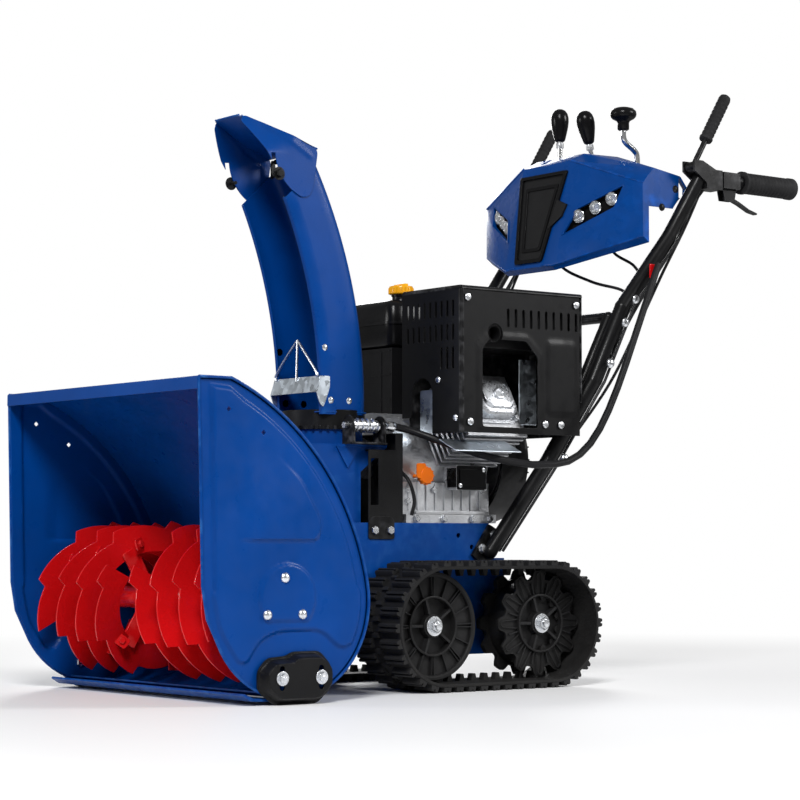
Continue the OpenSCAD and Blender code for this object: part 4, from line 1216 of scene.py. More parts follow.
WORM = JOINT["chute_worm_turn"]
THREAD_R = 0.0088
CHASSIS_X = 0.095


def chute_drive():
    """The worm's shaft, thread and knuckle, turning with the crank."""
    build = Build()
    at = (WORM.x, 0, WORM.z)
    build.rod(0.005, 0.250, 0.345, at, Y, 20)
    low, high = 0.264, 0.314
    turns, steps = 5, 100
    helix = [(WORM.x + THREAD_R * math.cos(TAU * turns * i / steps), low + (high - low) * i / steps,
              WORM.z + THREAD_R * math.sin(TAU * turns * i / steps)) for i in range(steps + 1)]
    build.tube(helix, 0.0030, 8)
    build.rod(0.0092, low, high, at, Y, 28)
    build.lathe([(0.0100, low - 0.003), (0.0125, low - 0.001), (0.0125, low + 0.001),
                 (0.0100, low + 0.003)], at, Y, 28)
    build.lathe([(0.006, 0.319), (0.0085, 0.322), (0.0085, 0.330), (0.0065, 0.333), (0.0065, 0.338),
                 (0.0082, 0.341), (0.0082, 0.348), (0.0070, 0.350)], at, Y, 24)
    build.piece("chute_worm_turned", ZINC, "chute_worm", bevel=0.0002, stands_for=["chute_worm"])


def frame_bolts():
    """Axle bolts, the chassis's bolts and the front brackets."""
    build = Build()
    for y in AXLES_Y:
        x = WHEEL_FACE + 0.0004
        build.lathe([(0.0125, 0.0), (0.0155, 0.0002), (0.0155, 0.0020), (0.0125, 0.0022)], (x, y, AXLE_Z),
                    n=36)
        build.hex_bolt((x + 0.0022, y, AXLE_Z), X, 0.0190, 0.0080)
        build.lathe([(0.0066, 0.0), (0.0060, 0.0035), (0.0010, 0.0040)], (x + 0.0100, y, AXLE_Z), n=20)
        build.rod(0.010, 0.0, x + 0.001 - 0.087, (0.087, y, AXLE_Z), n=32)
    for y, z in ((0.302, 0.252), (0.333, 0.252), (0.262, 0.180), (0.262, 0.135)):
        build.hex_bolt((CHASSIS_X + 0.0002, y, z), X, 0.0125, 0.0055, washer=0.0085)
    for y, z in ((0.520, 0.222), (0.545, 0.244)):
        build.hex_bolt((CHASSIS_X + 0.0065, y, z), X, 0.0125, 0.0055, washer=0.0085)
    build.both_sides().piece("frame_bolts", ZINC, bevel=0.0003, stands_for=["frame_fasteners"])
    plate = Build()
    plate.prism(rounded([(0.291, 0.238), (0.342, 0.238), (0.342, 0.268), (0.334, 0.274), (0.299, 0.274),
                         (0.291, 0.268)], 0.004), CHASSIS_X - 0.0002, CHASSIS_X + 0.0025, ACROSS)
    plate.both_sides().piece("front_brackets", BLACK, bevel=0.0005)


# ---------- muffler guard ----------

GUARD_LOW, GUARD_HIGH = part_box("muffler_guard")
GUARD_SHEET = 0.002
FOLD = 0.006
EXHAUST = (0.0, 0.468, 0.567)
VENT = 0.0026


def guard_front():
    """The front panel: two rows of vents, three more below them, and an arch over its bracket."""
    low, high = GUARD_LOW, GUARD_HIGH
    pitch = 0.0146
    vents = [slot_loop(0.0625 + pitch * i, z, z + 0.026, VENT) for z in (0.592, 0.554) for i in range(9)]
    vents += [slot_loop(0.1495 + pitch * i, 0.508, 0.544, VENT) for i in range(3)]
    outline = [(low.x, 0.434), (0.071, 0.434), (0.072, 0.470)] + arc((0.099, 0.470), 0.027, 180, 0, 16)
    outline += [(0.126, low.z), (high.x - FOLD, low.z), (high.x - FOLD, high.z - FOLD),
                (low.x, high.z - FOLD)]

    def place(a, b, h):
        return (a, low.y + GUARD_SHEET - h, b)

    sheet("guard_front", outline, place, -GUARD_SHEET, "frame", GUARD_BLACK, vents, step=0.005,
          stands_for=["muffler_guard"])


def guard_side():
    """The side panel: a row of vents, the hole for the exhaust, and a wide window."""
    low, high = GUARD_LOW, GUARD_HIGH
    holes = [slot_loop(0.4955 + 0.0162 * i, 0.578, 0.608, VENT) for i in range(10)]
    holes.append(arc((EXHAUST[1], EXHAUST[2]), 0.0155, 0, 345, 23))
    holes.append(rounded([(0.441, 0.417), (0.557, 0.417), (0.557, 0.532), (0.532, 0.557), (0.455, 0.557),
                          (0.441, 0.541)], 0.006))
    outline = rectangle(low.y + FOLD, high.y - 0.004, low.z, high.z - FOLD)
    panel = rounded(rectangle(0.578, 0.640, 0.440, 0.560), 0.008)
    window = rounded([(0.432, 0.409), (0.566, 0.409), (0.566, 0.540), (0.538, 0.567), (0.449, 0.567),
                      (0.432, 0.548)], 0.008)

    def relief(points):
        return 0.0018 * pad(points, panel, 0.004) + 0.0012 * pad(points, window, 0.004) - 0.0022

    sheet("guard_side", outline, in_yz(high.x), GUARD_SHEET, "frame", GUARD_BLACK, holes, relief, 0.0045)


def guard_folds():
    """The rounded folds between the panels, and the back and base flanges."""
    low, high = GUARD_LOW, GUARD_HIGH
    thin = FOLD - GUARD_SHEET
    folds = Build()
    folds.prism(band((high.x - FOLD, low.y + FOLD), FOLD, thin, -90, 0), low.z, high.z - FOLD, UPWARD)
    corner = band((high.x - FOLD, high.z - FOLD), FOLD, thin, 0, 90)
    half = len(corner) // 2
    top = corner[:half] + [(low.x, high.z), (low.x, high.z - GUARD_SHEET)] + corner[half:]
    folds.prism(top, low.y + FOLD * 0.4, high.y, ALONG)
    brow = band((low.y + FOLD, high.z - FOLD), FOLD, thin, 90, 180)
    folds.prism(brow, low.x, high.x - FOLD * 0.5, ACROSS)
    folds.box((low.x, high.y - GUARD_SHEET, 0.462), (high.x - 0.001, high.y, high.z - 0.001))
    folds.box((low.x, high.y - GUARD_SHEET, low.z), (0.128, high.y, 0.464))
    folds.prism(rectangle(low.y + 0.004, low.y + 0.014, low.z, low.z + 0.0015), 0.126, high.x - 0.001,
                ACROSS)
    folds.piece("guard_folds", GUARD_BLACK, bevel=0.0004)


def guard_fittings():
    """The guard's screws, its galvanised bracket and the end of the exhaust pipe."""
    low, high = GUARD_LOW, GUARD_HIGH
    screws = Build()
    for y, z in ((0.410, 0.622), (0.640, 0.622), (0.415, 0.424), (0.572, 0.424), (0.606, 0.424)):
        screws.lathe([(0.0062, 0.0), (0.0062, 0.001), (0.0048, 0.0028), (0.001, 0.0034)],
                     (high.x - 0.0004, y, z), n=20)
    for x, z in ((0.142, 0.492), (0.186, 0.430)):
        screws.lathe([(0.0055, 0.0), (0.0055, 0.001), (0.0042, 0.0026), (0.001, 0.003)], (x, low.y, z),
                     (0, -1, 0), 20)
    screws.piece("guard_screws", ZINC, bevel=0.0002)
    bracket = Build()
    bracket.prism(rounded(rectangle(0.082, 0.118, 0.408, 0.478), 0.004), low.y + 0.010, low.y + 0.012,
                  ALONG)
    bracket.piece("guard_bracket", GALVANISED, bevel=0.0003)
    pipe = Build()
    pipe.ring([(0.0112, 0.166), (0.0138, 0.166), (0.0138, 0.1955), (0.0130, 0.196), (0.0112, 0.196)],
              EXHAUST)
    pipe.piece("exhaust_pipe", IRON, bevel=0.0004)


# ---------- engine ----------

CRANK = JOINT["engine_spin"]
CYLINDER_Y = 0.493
CYLINDER = spun((0, CYLINDER_Y, CRANK.z), math.radians(-30), "Y")


def octagon(half_y, half_z, cut):
    return [(-half_y + cut, -half_z), (half_y - cut, -half_z), (half_y, -half_z + cut),
            (half_y, half_z - cut), (half_y - cut, half_z), (-half_y + cut, half_z),
            (-half_y, half_z - cut), (-half_y, -half_z + cut)]


def rocker_cover():
    """The pressed steel cover along the cylinder's axis: a flange, a stepped octagon, a round boss."""
    build = Build()
    build.prism(rounded(octagon(0.046, 0.040, 0.012), 0.004), 0.176, 0.1795, ACROSS)
    levels = [(0.0395, 0.0335, 0.180), (0.0385, 0.0325, 0.193), (0.0345, 0.0285, 0.1965),
              (0.0310, 0.0245, 0.1970), (0.0295, 0.0230, 0.2020), (0.0270, 0.0205, 0.2032)]
    build.loft([[(h, a, b) for a, b in rounded(octagon(y, z, 0.011), 0.003, 3)] for y, z, h in levels])
    build.lathe([(0.0105, 0.2030), (0.0100, 0.2065), (0.0070, 0.2075), (0.0070, 0.2060),
                 (0.0010, 0.2058)], (0, 0, 0), n=32)
    build.moved(CYLINDER).piece("rocker_cover_pressed", COVER, bevel=0.0006, stands_for=["rocker_cover"])
    bolts = Build()
    for y in (-0.0405, 0.0405):
        for z in (-0.030, 0.030):
            bolts.hex_bolt((0.1795, y, z), X, 0.009, 0.005, washer=0.006)
    bolts.moved(CYLINDER).piece("rocker_cover_bolts", ZINC, bevel=0.0002)


def engine_details():
    """The engine's bolts, the ignition module, the crankcase ribs and two leads."""
    bolts = Build()
    for y in (0.392, 0.448, 0.508, 0.545):
        bolts.hex_bolt((0.0902, y, 0.271), X, 0.010, 0.004, washer=0.0065)
    for y, z in ((0.386, 0.318), (0.386, 0.300), (0.440, 0.318), (0.540, 0.318)):
        bolts.hex_bolt((0.0742, y, z), X, 0.010, 0.004)
    for y, z in ((0.474, 0.325), (0.523, 0.351)):
        bolts.lathe([(0.004, 0.0), (0.0036, 0.002), (0.001, 0.0026)], (0.1002, y, z), n=16)
    bolts.piece("engine_bolts", ZINC, bevel=0.0002)
    module = Build()
    module.prism(rounded(rectangle(0.467, 0.530, 0.318, 0.358), 0.004), 0.0745, 0.1002, ACROSS)
    module.prism(rounded(rectangle(0.473, 0.524, 0.324, 0.352), 0.003), 0.100, 0.1022, ACROSS)
    module.piece("ignition_module", GLOSS_PLASTIC, bevel=0.0006)
    rail = Build()
    rail.box((0.060, 0.392, 0.2785), (0.089, 0.545, 0.283))
    for i in range(9):
        y = 0.386 + 0.0185 * i
        rail.box((0.0735, y, 0.285), (0.0765, y + 0.0022, 0.3295))
    rail.piece("crankcase_ribs", ALUMINIUM, bevel=0.0004)
    lead = Build()
    lead.tube(through([(0.095, 0.500, 0.357), (0.110, 0.512, 0.378), (0.128, 0.545, 0.400),
                       (0.122, 0.560, 0.440), (0.100, 0.556, 0.470)], 8), 0.0035, 10)
    lead.tube(through([(0.070, 0.372, 0.350), (0.092, 0.376, 0.330), (0.100, 0.380, 0.300),
                       (0.098, 0.376, 0.276)], 8), 0.0030, 10)
    lead.piece("engine_leads", CABLE, bevel=0.0)


def painted_shade_panels():
    """Two black sheets inside the guard, behind its window: painted shade where the space behind the window
    lies in shadow.
    """
    # black sheets as painted shade behind the guard's window, not a real part
    build = Build()
    build.box((0.058, 0.402, 0.412), (0.060, 0.646, 0.5475))
    build.box((0.058, 0.600, 0.412), (0.126, 0.602, 0.5475))
    build.piece("painted_shade_panels", BLACK, bevel=0.0005)


def dipstick():
    """The oil dipstick with its ribbed orange cap."""
    build = Build()
    x, y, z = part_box("dipstick")[0].x, 0.405, 0.340
    build.rod(0.0028, 0.0, 0.052, (x, y, z), n=14)
    build.lathe([(0.010, 0.091), (0.0138, 0.0925), (0.0142, 0.096), (0.0142, 0.100), (0.0125, 0.1025),
                 (0.004, 0.1035)], (0, y, z), n=32)
    for i in range(12):
        spin = spun((0, y, z), TAU * i / 12)
        build.prism(wedge(0.0012, 0.0009, 0.0135, 0.0152), 0.0935, 0.1015, ACROSS, spin)
    build.prism(rounded(rectangle(y - 0.020, y - 0.002, z - 0.004, z + 0.020), 0.004), 0.0985, 0.1015,
                ACROSS)
    build.piece("dipstick_handle", ORANGE, "dipstick", bevel=0.0004, stands_for=["dipstick"])


def fuel_cap():
    """The yellow fuel cap with its ribs and its grip bar."""
    build = Build()
    x, y = -0.062, 0.478
    build.lathe([(0.0195, 0.6505), (0.0208, 0.652), (0.0208, 0.661), (0.0195, 0.6645), (0.010, 0.665)],
                (x, y, 0), Z, 48)
    for i in range(24):
        spin = spun((x, y, 0), TAU * i / 24, "Z")
        build.prism([(0.0202, -0.0012), (0.0202, 0.0012), (0.0217, 0.0008), (0.0217, -0.0008)], 0.6515,
                    0.6615, UPWARD, spin)
    build.box((x - 0.016, y - 0.003, 0.6648), (x + 0.016, y + 0.003, 0.6685))
    build.piece("fuel_cap_ribbed", YELLOW, "fuel_cap", bevel=0.0005, stands_for=["fuel_cap"])


def tank():
    """The fuel tank and the air box: rounded mouldings with panel lines."""
    low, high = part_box("fuel_tank")
    build = Build()
    loop = rounded(rectangle(low.x, high.x, low.y, high.y - 0.001), 0.022, 6)
    middle = Vector(((low.x + high.x) / 2, (low.y + high.y) / 2))
    levels = [(0.561, 0.006), (0.566, 0.001), (0.598, 0.0), (0.5985, -0.0025), (0.6025, -0.0025),
              (0.603, 0.0), (0.628, 0.001), (0.636, 0.006), (0.640, 0.016)]
    rows = []
    for z, inset in levels:
        corners = [Vector(p) + (middle - Vector(p)).normalized() * inset for p in loop]
        rows.append([(p.x, p.y, z) for p in corners])
    build.loft(rows)
    build.lathe([(0.0170, 0.636), (0.0150, 0.641), (0.0150, 0.6465), (0.0165, 0.6475), (0.0165, 0.6498),
                 (0.0120, 0.650)], (-0.062, 0.478, 0), Z, 36)
    build.piece("fuel_tank_moulding", GLOSS_PLASTIC, bevel=0.0, angle=50, stands_for=["fuel_tank"])
    ribs = Build()
    box_low, box_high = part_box("air_box")
    for z in (0.470, 0.512, 0.552):
        ribs.box((box_low.x + 0.004, box_low.y - 0.0012, z),
                 (box_high.x - 0.004, box_low.y + 0.001, z + 0.0022))
    ribs.box((box_high.x - 0.030, box_low.y - 0.0012, 0.440),
             (box_high.x - 0.0275, box_low.y + 0.001, 0.555))
    ribs.piece("air_box_lines", GLOSS_PLASTIC, bevel=0.0003)


chute_drive()
frame_bolts()
guard_front()
guard_side()
guard_folds()
guard_fittings()
rocker_cover()
engine_details()
painted_shade_panels()
dipstick()
fuel_cap()
tank()


# ---------- dash ----------

DASH_MID = [(0.708, 0.706), (0.716, 0.698), (0.760, 0.712), (0.890, 0.790), (0.902, 0.884), (0.862, 0.908),
            (0.784, 0.906), (0.752, 0.890)]
DASH_END = [(0.786, 0.748), (0.800, 0.738), (0.866, 0.768), (0.896, 0.808), (0.897, 0.836), (0.880, 0.856),
            (0.812, 0.866), (0.786, 0.838)]
LIP, CREST = 0, 7
DASH_X = (0.062, 0.205)


def dash_front(x, z):
    """Where the dash's front face is, this far to either side of the centre and at this height."""
    share = min(max((abs(x) - DASH_X[0]) / (DASH_X[1] - DASH_X[0]), 0.0), 1.0)
    low = Vector(DASH_MID[LIP]).lerp(Vector(DASH_END[LIP]), share)
    high = Vector(DASH_MID[CREST]).lerp(Vector(DASH_END[CREST]), share)
    return low.x + (high.x - low.x) * (z - low.y) / (high.y - low.y)


def on_dash(x, z, out):
    """A point on the dash's front, this far out of its face."""
    return (x, dash_front(x, z) - out, z)


def add_dash_frame(build, outer, inner, out, back=-0.002):
    """A raised frame that follows the dash's face between two outlines of as many points."""
    edges = ((outer, out), (inner, out), (inner, back), (outer, back))
    build.loft([[on_dash(x, z, depth) for x, z in loop] for loop, depth in edges], closed=True)


def dash_grille():
    """The black middle: a raised rim, a recessed panel, and a tab at the near side."""
    outer = rounded(wedge(0.035, 0.062, 0.715, 0.874), 0.005, 5)
    inner = rounded(wedge(0.030, 0.054, 0.722, 0.868), 0.005, 5)
    build = Build()
    add_dash_frame(build, outer, inner, 0.0045)
    core_outer = rounded(wedge(0.024, 0.043, 0.735, 0.852), 0.004, 5)
    core_inner = rounded(wedge(0.018, 0.036, 0.741, 0.846), 0.004, 5)
    add_dash_frame(build, core_outer, core_inner, 0.0022, -0.001)
    build.piece("dash_grille_rim", GLOSS_PLASTIC, bevel=0.0006)
    tab = Build()
    tab.prism([(0.038, 0.770), (0.066, 0.790), (0.072, 0.812), (0.050, 0.822)], -0.002, 0.0055, on_dash)
    tab.piece("dash_grille_tab", PLASTIC, bevel=0.0006)


LAMP = [(0.074, 0.760), (0.092, 0.802), (0.170, 0.836), (0.160, 0.800)]


def headlights():
    """Each lamp: a dark recess, a blue rim, three chromed bowls with clear lenses."""
    middle = Vector((sum(p[0] for p in LAMP) / 4, sum(p[1] for p in LAMP) / 4))

    def grown(amount):
        corners = [Vector(p) for p in LAMP]
        return rounded([p + (p - middle).normalized() * amount for p in corners], 0.004, 4)

    rims, recess = Build(), Build()
    add_dash_frame(rims, grown(0.0055), grown(0.0005), 0.0030)
    walls = ((0.0015, -0.010), (0.0015, 0.0005), (0.0035, 0.0005), (0.0035, -0.012))
    recess.loft([[on_dash(x, z, out) for x, z in grown(amount)] for amount, out in walls])
    rims.both_sides().piece("headlight_rims", BLUE_PLASTIC, bevel=0.0006)
    recess.both_sides().piece("headlight_recesses", GLOSS_PLASTIC, bevel=0.0, stands_for=["headlights"])
    bowls, lenses = Build(), Build()
    start, end = Vector((0.093, 0.790)), Vector((0.148, 0.816))
    for i in range(3):
        at = start.lerp(end, i / 2)
        centre = Vector(on_dash(at.x, at.y, -0.007))
        out = Vector((0.25, -0.95, -0.12)).normalized()
        bowls.ring([(0.0065, 0.000), (0.0105, 0.0055), (0.0118, 0.0085), (0.0112, 0.0090),
                    (0.0098, 0.0065), (0.0055, 0.0012)], centre, out, 32)
        bowls.lathe([(0.0068, -0.0005), (0.0062, 0.0008)], centre, out, 24)
        lenses.lathe([(0.0108, 0.0060), (0.0108, 0.0078), (0.0085, 0.0096), (0.0045, 0.0108),
                      (0.0008, 0.0112)], centre, out, 32)
    bowls.both_sides().piece("headlight_bowls", CHROME, bevel=0.0)
    lenses.both_sides().piece("headlight_lenses", LENS, bevel=0.0)


def dash_trim():
    """The crest line over both wings, a lower lip, and the end bolts."""
    build = Build()
    for side in (1, -1):
        crest = [(side * (DASH_X[0] + 0.001), DASH_MID[CREST][0] + 0.001, DASH_MID[CREST][1] + 0.0005),
                 (side * DASH_X[1], DASH_END[CREST][0] + 0.001, DASH_END[CREST][1] + 0.0005)]
        build.tube(crest, 0.0022, 10)
        lip = [(side * 0.036, dash_front(0.036, 0.708) + 0.001, 0.708),
               (side * DASH_X[0], DASH_MID[LIP][0] + 0.002, 0.706),
               (side * DASH_X[1], DASH_END[LIP][0] + 0.002, DASH_END[LIP][1] + 0.001)]
        build.tube(lip, 0.0026, 10)
    build.piece("dash_crest", BLUE_PLASTIC, bevel=0.0)
    bolts = Build()
    for y, z in ((0.830, 0.800), (0.862, 0.834)):
        bolts.lathe([(0.0065, 0.0), (0.0060, 0.0016), (0.0034, 0.0032), (0.0008, 0.0036)],
                    (DASH_X[1] + 0.0006, y, z), n=20)
    bolts.both_sides().piece("dash_bolts", BLACK, bevel=0.0)


# ---------- levers ----------

KNOB = [(0.006, -0.003), (0.0088, -0.001), (0.0098, 0.002), (0.0118, 0.010), (0.0145, 0.022),
        (0.0158, 0.032), (0.0156, 0.040), (0.0138, 0.047), (0.0100, 0.0525), (0.0050, 0.0550),
        (0.0010, 0.0555)]


def stick(name, joint, lean, length):
    """A lever on its pivot: the hub, a chromed rod, a nut and a pear shaped knob."""
    pivot = JOINT[joint]
    axis = Vector((0, -math.sin(math.radians(lean)), math.cos(math.radians(lean))))
    knob = Build()
    knob.lathe([(r, length + z) for r, z in KNOB], pivot, axis, 40)
    knob.piece(name + "_knob", GLOSS_PLASTIC, name, bevel=0.0, angle=60, stands_for=[name])
    rod = Build()
    rod.rod(0.0042, 0.006, length, pivot, axis, 24)
    rod.piece(name + "_rod", CHROME, name, bevel=0.0003)
    hub = Build()
    hub.collar(0.00405, 0.009, -0.008, 0.008, pivot, n=32)
    hub.lathe([(0.0068, length - 0.014), (0.0068, length - 0.006), (0.0050, length - 0.002)],
              pivot, axis, 6)
    hub.piece(name + "_hub", ZINC, name, bevel=0.0004)


def crank_handle():
    """The chute's crank: an S bent rod with a mushroom knob."""
    base = JOINT["chute_crank_turn"]
    throw = -0.032
    rod = Build()
    rod.tube(through([(base.x, base.y, 0.800), (base.x, base.y, 0.860), (base.x, base.y, 0.902),
                      (base.x, base.y - 0.006, 0.914), (base.x, base.y + throw + 0.006, 0.926),
                      (base.x, base.y + throw, 0.936), (base.x, base.y + throw, 0.952)], 6), 0.005, 16)
    rod.piece("chute_crank_rod", CHROME, "chute_crank", bevel=0.0, stands_for=["chute_crank"])
    knob = Build()
    knob.lathe([(0.0075, 0.947), (0.0102, 0.949), (0.0102, 0.960), (0.0115, 0.9635), (0.0190, 0.9675),
                (0.0225, 0.9715), (0.0232, 0.9755), (0.0222, 0.9805), (0.0175, 0.9850), (0.0100, 0.9872),
                (0.0010, 0.9880)], (base.x, base.y + throw, 0), Z, 40)
    knob.piece("chute_crank_knob", GLOSS_PLASTIC, "chute_crank", bevel=0.0, angle=60)


CLUTCH = JOINT["left_clutch_squeeze"]
CLUTCH_LEAN = 58
TRIGGER = JOINT["left_trigger_squeeze"]
GRIP_X = 0.225
GRIP_Z = 0.855


def clutch_levers():
    """Clutch levers in ribbed sheaths with round tips."""
    lean = math.radians(CLUTCH_LEAN)
    axis = Vector((0, math.cos(lean), math.sin(lean)))
    pivot = Vector((GRIP_X, CLUTCH.y, CLUTCH.z))
    for side in SIDES:
        name = side + "_clutch_lever"
        sheath = Build()
        profile = [(0.0070, 0.056), (0.0112, 0.058), (0.0120, 0.062), (0.0104, 0.066)]
        for i in range(8):
            z = 0.068 + 0.0088 * i
            profile += [(0.0102, z), (0.0110, z + 0.0018), (0.0110, z + 0.0050), (0.0102, z + 0.0066)]
        profile += [(0.0106, 0.1395), (0.0108, 0.146), (0.0094, 0.1512), (0.0060, 0.1538), (0.0010, 0.1545)]
        sheath.lathe(profile, pivot, axis, 32)
        arm = Build()
        arm.rod(0.0050, 0.006, 0.060, pivot, axis, 20)
        arm.collar(0.00406, 0.0090, -0.009, 0.009, pivot, n=32)
        sheath.on(side).piece(name + "_sheath", GRIP_RUBBER, name, bevel=0.0, angle=50, stands_for=[name])
        arm.on(side).piece(name + "_arm", BLACK, name, bevel=0.0004)


def triggers():
    """The steering triggers under the grips."""
    for side in SIDES:
        name = side + "_trigger"
        build = Build()
        pivot = (GRIP_X, TRIGGER.y, TRIGGER.z)
        build.collar(0.00306, 0.0070, -0.004, 0.004, pivot, n=28)
        blade = rounded([(0.0035, -0.0045), (0.030, -0.0040), (0.058, -0.0060), (0.0765, -0.0030),
                         (0.0765, 0.0005), (0.056, -0.0012), (0.030, 0.0012), (0.0035, 0.0015)],
                        0.0022, 3)
        spin = spun(pivot, math.radians(-19))
        build.prism(blade, -0.0042, 0.0042, ACROSS, spin)
        build.on(side).piece(name + "_blade", PLASTIC, name, bevel=0.0007, stands_for=[name])


def grips():
    """Soft grips with a flange at each end and rings of shallow ribs."""
    start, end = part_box("handle_grips")[0].y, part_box("handle_grips")[1].y
    profile = [(0.0128, start), (0.0200, start + 0.0005), (0.0200, start + 0.0060),
               (0.0176, start + 0.0085)]
    ribs = 12
    gap = (end - start - 0.030) / ribs
    for i in range(ribs):
        y = start + 0.012 + gap * i
        profile += [(0.0172, y), (0.0184, y + gap * 0.25), (0.0184, y + gap * 0.6),
                    (0.0172, y + gap * 0.85)]
    profile += [(0.0176, end - 0.0150), (0.0192, end - 0.0120), (0.0192, end - 0.0030),
                (0.0165, end - 0.0004), (0.0010, end)]
    build = Build().lathe(profile, (GRIP_X, 0, GRIP_Z), Y, 40)
    build.both_sides().piece("grip_sleeves", GRIP_RUBBER, bevel=0.0, angle=50, slot="track_rubber",
                             stands_for=["handle_grips"])


# ---------- cables and handle details ----------

CABLE_R = 0.0026
HANDLE_ROUTES = (
    [(0.215, 0.930, 0.848), (0.212, 0.890, 0.800), (0.204, 0.862, 0.740), (0.192, 0.800, 0.650),
     (0.184, 0.756, 0.580), (0.172, 0.700, 0.480), (0.150, 0.640, 0.380)],
    [(0.218, 0.915, 0.842), (0.206, 0.884, 0.770), (0.199, 0.838, 0.690), (0.188, 0.792, 0.600),
     (0.170, 0.742, 0.500), (0.150, 0.668, 0.400), (0.110, 0.620, 0.320)],
)
DASH_ROUTES = (
    [(0.050, 0.845, 0.775), (0.080, 0.836, 0.735), (0.140, 0.828, 0.705), (0.178, 0.806, 0.668),
     (0.180, 0.762, 0.600)],
    [(-0.022, 0.806, 0.775), (-0.010, 0.790, 0.720), (0.060, 0.800, 0.684), (0.130, 0.806, 0.664),
     (0.176, 0.790, 0.640)],
)


def cables():
    """Four cables down to the chassis along the handlebars, and two across from the dash."""
    build = Build()
    for route in HANDLE_ROUTES:
        build.tube(through(route), CABLE_R, 8)
    build.both_sides()
    for route in DASH_ROUTES:
        build.tube(through(route), CABLE_R, 8)
    build.piece("dash_cables", CABLE, bevel=0.0)


def handle_details():
    """Round head bolts on the handlebar tubes, and a red tab."""
    bolts = Build()
    places = ((0.1925, 0.748, 0.600), (0.1965, 0.768, 0.640), (0.1905, 0.716, 0.530),
              (0.1700, 0.632, 0.370))
    for x, y, z in places:
        bolts.lathe([(0.0080, -0.002), (0.0080, 0.0012), (0.0062, 0.0038), (0.0030, 0.0050),
                     (0.0008, 0.0053)], (x + 0.0085, y, z), n=24)
    bolts.both_sides().piece("handle_bolts", ZINC, bevel=0.0002)
    tab = Build()
    tab.box((0.214, 0.792, 0.676), (0.2165, 0.806, 0.700))
    tab.piece("handle_tab", RED, bevel=0.0006)


# ---------- recoil starter ----------

def recoil_cowl():
    """The starter cowl's rim, its ring of vents, and the rope's guide."""
    ribs = Build()
    for i in range(30):
        spin = spun((0, 0, CRANK.z), TAU * i / 30, "Y")
        ribs.prism(rounded(rectangle(0.081, 0.1032, -0.0012, 0.0012), 0.001), 0.6175, 0.6215, ALONG, spin)
    ribs.collar(0.030, 0.034, 0.6312, 0.6335, (0, 0, CRANK.z), Y, 48)
    ribs.collar(0.0735, 0.0775, 0.6310, 0.6335, (0, 0, CRANK.z), Y, 64)
    ribs.piece("recoil_cowl_ribs", BLACK, bevel=0.0003)
    bolts = Build()
    for i in range(3):
        turn = math.radians(120 * i + 30)
        bolts.hex_bolt((0.094 * math.cos(turn), 0.6180, CRANK.z + 0.094 * math.sin(turn)), Y, 0.010,
                       0.005, 0.0075)
    bolts.piece("recoil_bolts", ZINC, bevel=0.0002)


dash_grille()
headlights()
dash_trim()
stick("speed_lever", "speed_lever_tilt", 0.0, 0.152)
stick("deflector_lever", "deflector_lever_tilt", 13.0, 0.144)
crank_handle()
clutch_levers()
triggers()
grips()
cables()
handle_details()
recoil_cowl()


# ---------- nodes that keep their CAD shape ----------

KEPT = {
    BLUE: ["chassis_frame"],
    BLUE_PLASTIC: ["dash_panel"],
    BLACK: ["muffler", "recoil_housing", "worm_bracket", "left_handlebar", "right_handlebar",
            "handle_crossbar"],
    PLASTIC: ["belt_cover", "recoil_handle", "dash_grille"],
    GLOSS_PLASTIC: ["air_box"],
    ALUMINIUM: ["engine_block", "cylinder_head"],
    GALVANISED: ["heat_shield"],
    CABLE: ["flex_shaft", "control_cables"],
}


def keep_cad_shapes():
    for material, names in KEPT.items():
        for name in names:
            cad_finish(name, material)


keep_cad_shapes()

# ---------- stage ----------

FLOOR_HALF = 30.0
FLOOR_FADE = (0.9, 2.4)
FLOOR_MIDDLE = (0.1, 0.3, 0.0)
LIT_POINT = Vector((0, 0.3, 0.4))
AMBIENT = 0.25
CAMERA_AT = (3.0934, -1.9551, 0.2377)
CAMERA_UP = 3.37
CAMERA_ROUND = 52.39
FILM = 36.0
LENS_LENGTH = 106.45


def studio():
    """A pale floor that runs into a white surround, and soft lights."""
    floor_mesh = bpy.data.meshes.new("floor")
    corners = [(x, y, 0) for x, y in rectangle(-FLOOR_HALF, FLOOR_HALF, -FLOOR_HALF, FLOOR_HALF)]
    floor_mesh.from_pydata(corners, [], [(0, 1, 2, 3)])
    floor = bpy.data.objects.new("floor", floor_mesh)
    n = Nodes("floor_white")
    n.set("Base Color", n.mix(n.noise(0.6), (0.88, 0.88, 0.89), (0.95, 0.95, 0.95)))
    n.set("Roughness", 0.5)
    fade_to_white(n)
    floor_mesh.materials.append(n.material)
    bpy.context.scene.collection.objects.link(floor)
    world = bpy.data.worlds.new("studio")
    bpy.context.scene.world = world
    world.use_nodes = True
    white_surround(world.node_tree)
    area_light("key", (3.0, -2.4, 3.6), 1.5, 210.0)
    area_light("front", (-2.2, -3.8, 1.6), 1.6, 55.0)
    area_light("rear", (2.8, 3.0, 2.2), 1.4, 85.0)
    area_light("far_rear", (-3.4, 2.6, 2.0), 1.8, 55.0)


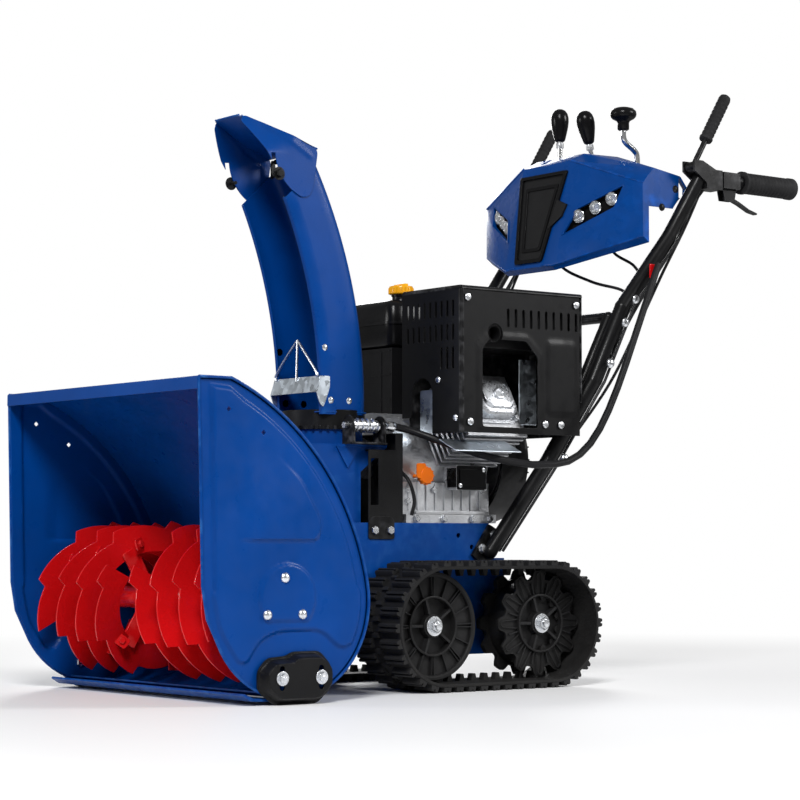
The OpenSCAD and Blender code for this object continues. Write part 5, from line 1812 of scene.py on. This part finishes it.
def fade_to_white(n):
    """Turns the floor into plain white away from the machine, so that it has no horizon."""
    away = n.tree.nodes.new("ShaderNodeVectorMath")
    away.operation = "DISTANCE"
    n.link(n.coords, away.inputs[0])
    away.inputs[1].default_value = FLOOR_MIDDLE
    white = n.tree.nodes.new("ShaderNodeEmission")
    n.link(seen_level(n.tree), white.inputs["Strength"])
    mixer = n.tree.nodes.new("ShaderNodeMixShader")
    n.link(n.remap(away.outputs["Value"], 0.0, 1.0, FLOOR_FADE[0], FLOOR_FADE[1]), mixer.inputs[0])
    n.link(n.surface.outputs[0], mixer.inputs[1])
    n.link(white.outputs[0], mixer.inputs[2])
    n.link(mixer.outputs[0], n.tree.nodes["Material Output"].inputs["Surface"])


def seen_level(tree):
    """1 where the camera sees it, and dimmer as a light so that the shapes keep their shading."""
    path = tree.nodes.new("ShaderNodeLightPath")
    level = tree.nodes.new("ShaderNodeMapRange")
    level.inputs["To Min"].default_value = AMBIENT
    level.inputs["To Max"].default_value = 1.0
    tree.links.new(path.outputs["Is Camera Ray"], level.inputs["Value"])
    return level.outputs["Result"]


def white_surround(tree):
    background = tree.nodes["Background"]
    background.inputs["Color"].default_value = (1.0, 1.0, 1.0, 1.0)
    tree.links.new(seen_level(tree), background.inputs["Strength"])


def area_light(name, place, size, power):
    data = bpy.data.lights.new(name, "AREA")
    data.shape = "DISK"
    data.size = size
    data.energy = power
    light = bpy.data.objects.new(name, data)
    light.location = place
    light.rotation_euler = (LIT_POINT - Vector(place)).to_track_quat("-Z", "Y").to_euler()
    bpy.context.scene.collection.objects.link(light)


def camera():
    """Low and to the operator's left of the machine's front, looking slightly up."""
    data = bpy.data.cameras.new("camera")
    data.sensor_width = FILM
    data.lens = LENS_LENGTH
    data.clip_end = 60.0
    obj = bpy.data.objects.new("camera", data)
    obj.location = CAMERA_AT
    obj.rotation_euler = (math.radians(90 + CAMERA_UP), 0.0, math.radians(CAMERA_ROUND))
    bpy.context.scene.collection.objects.link(obj)
    bpy.context.scene.camera = obj


studio()
camera()
bpy.context.scene.view_settings.view_transform = "Standard"
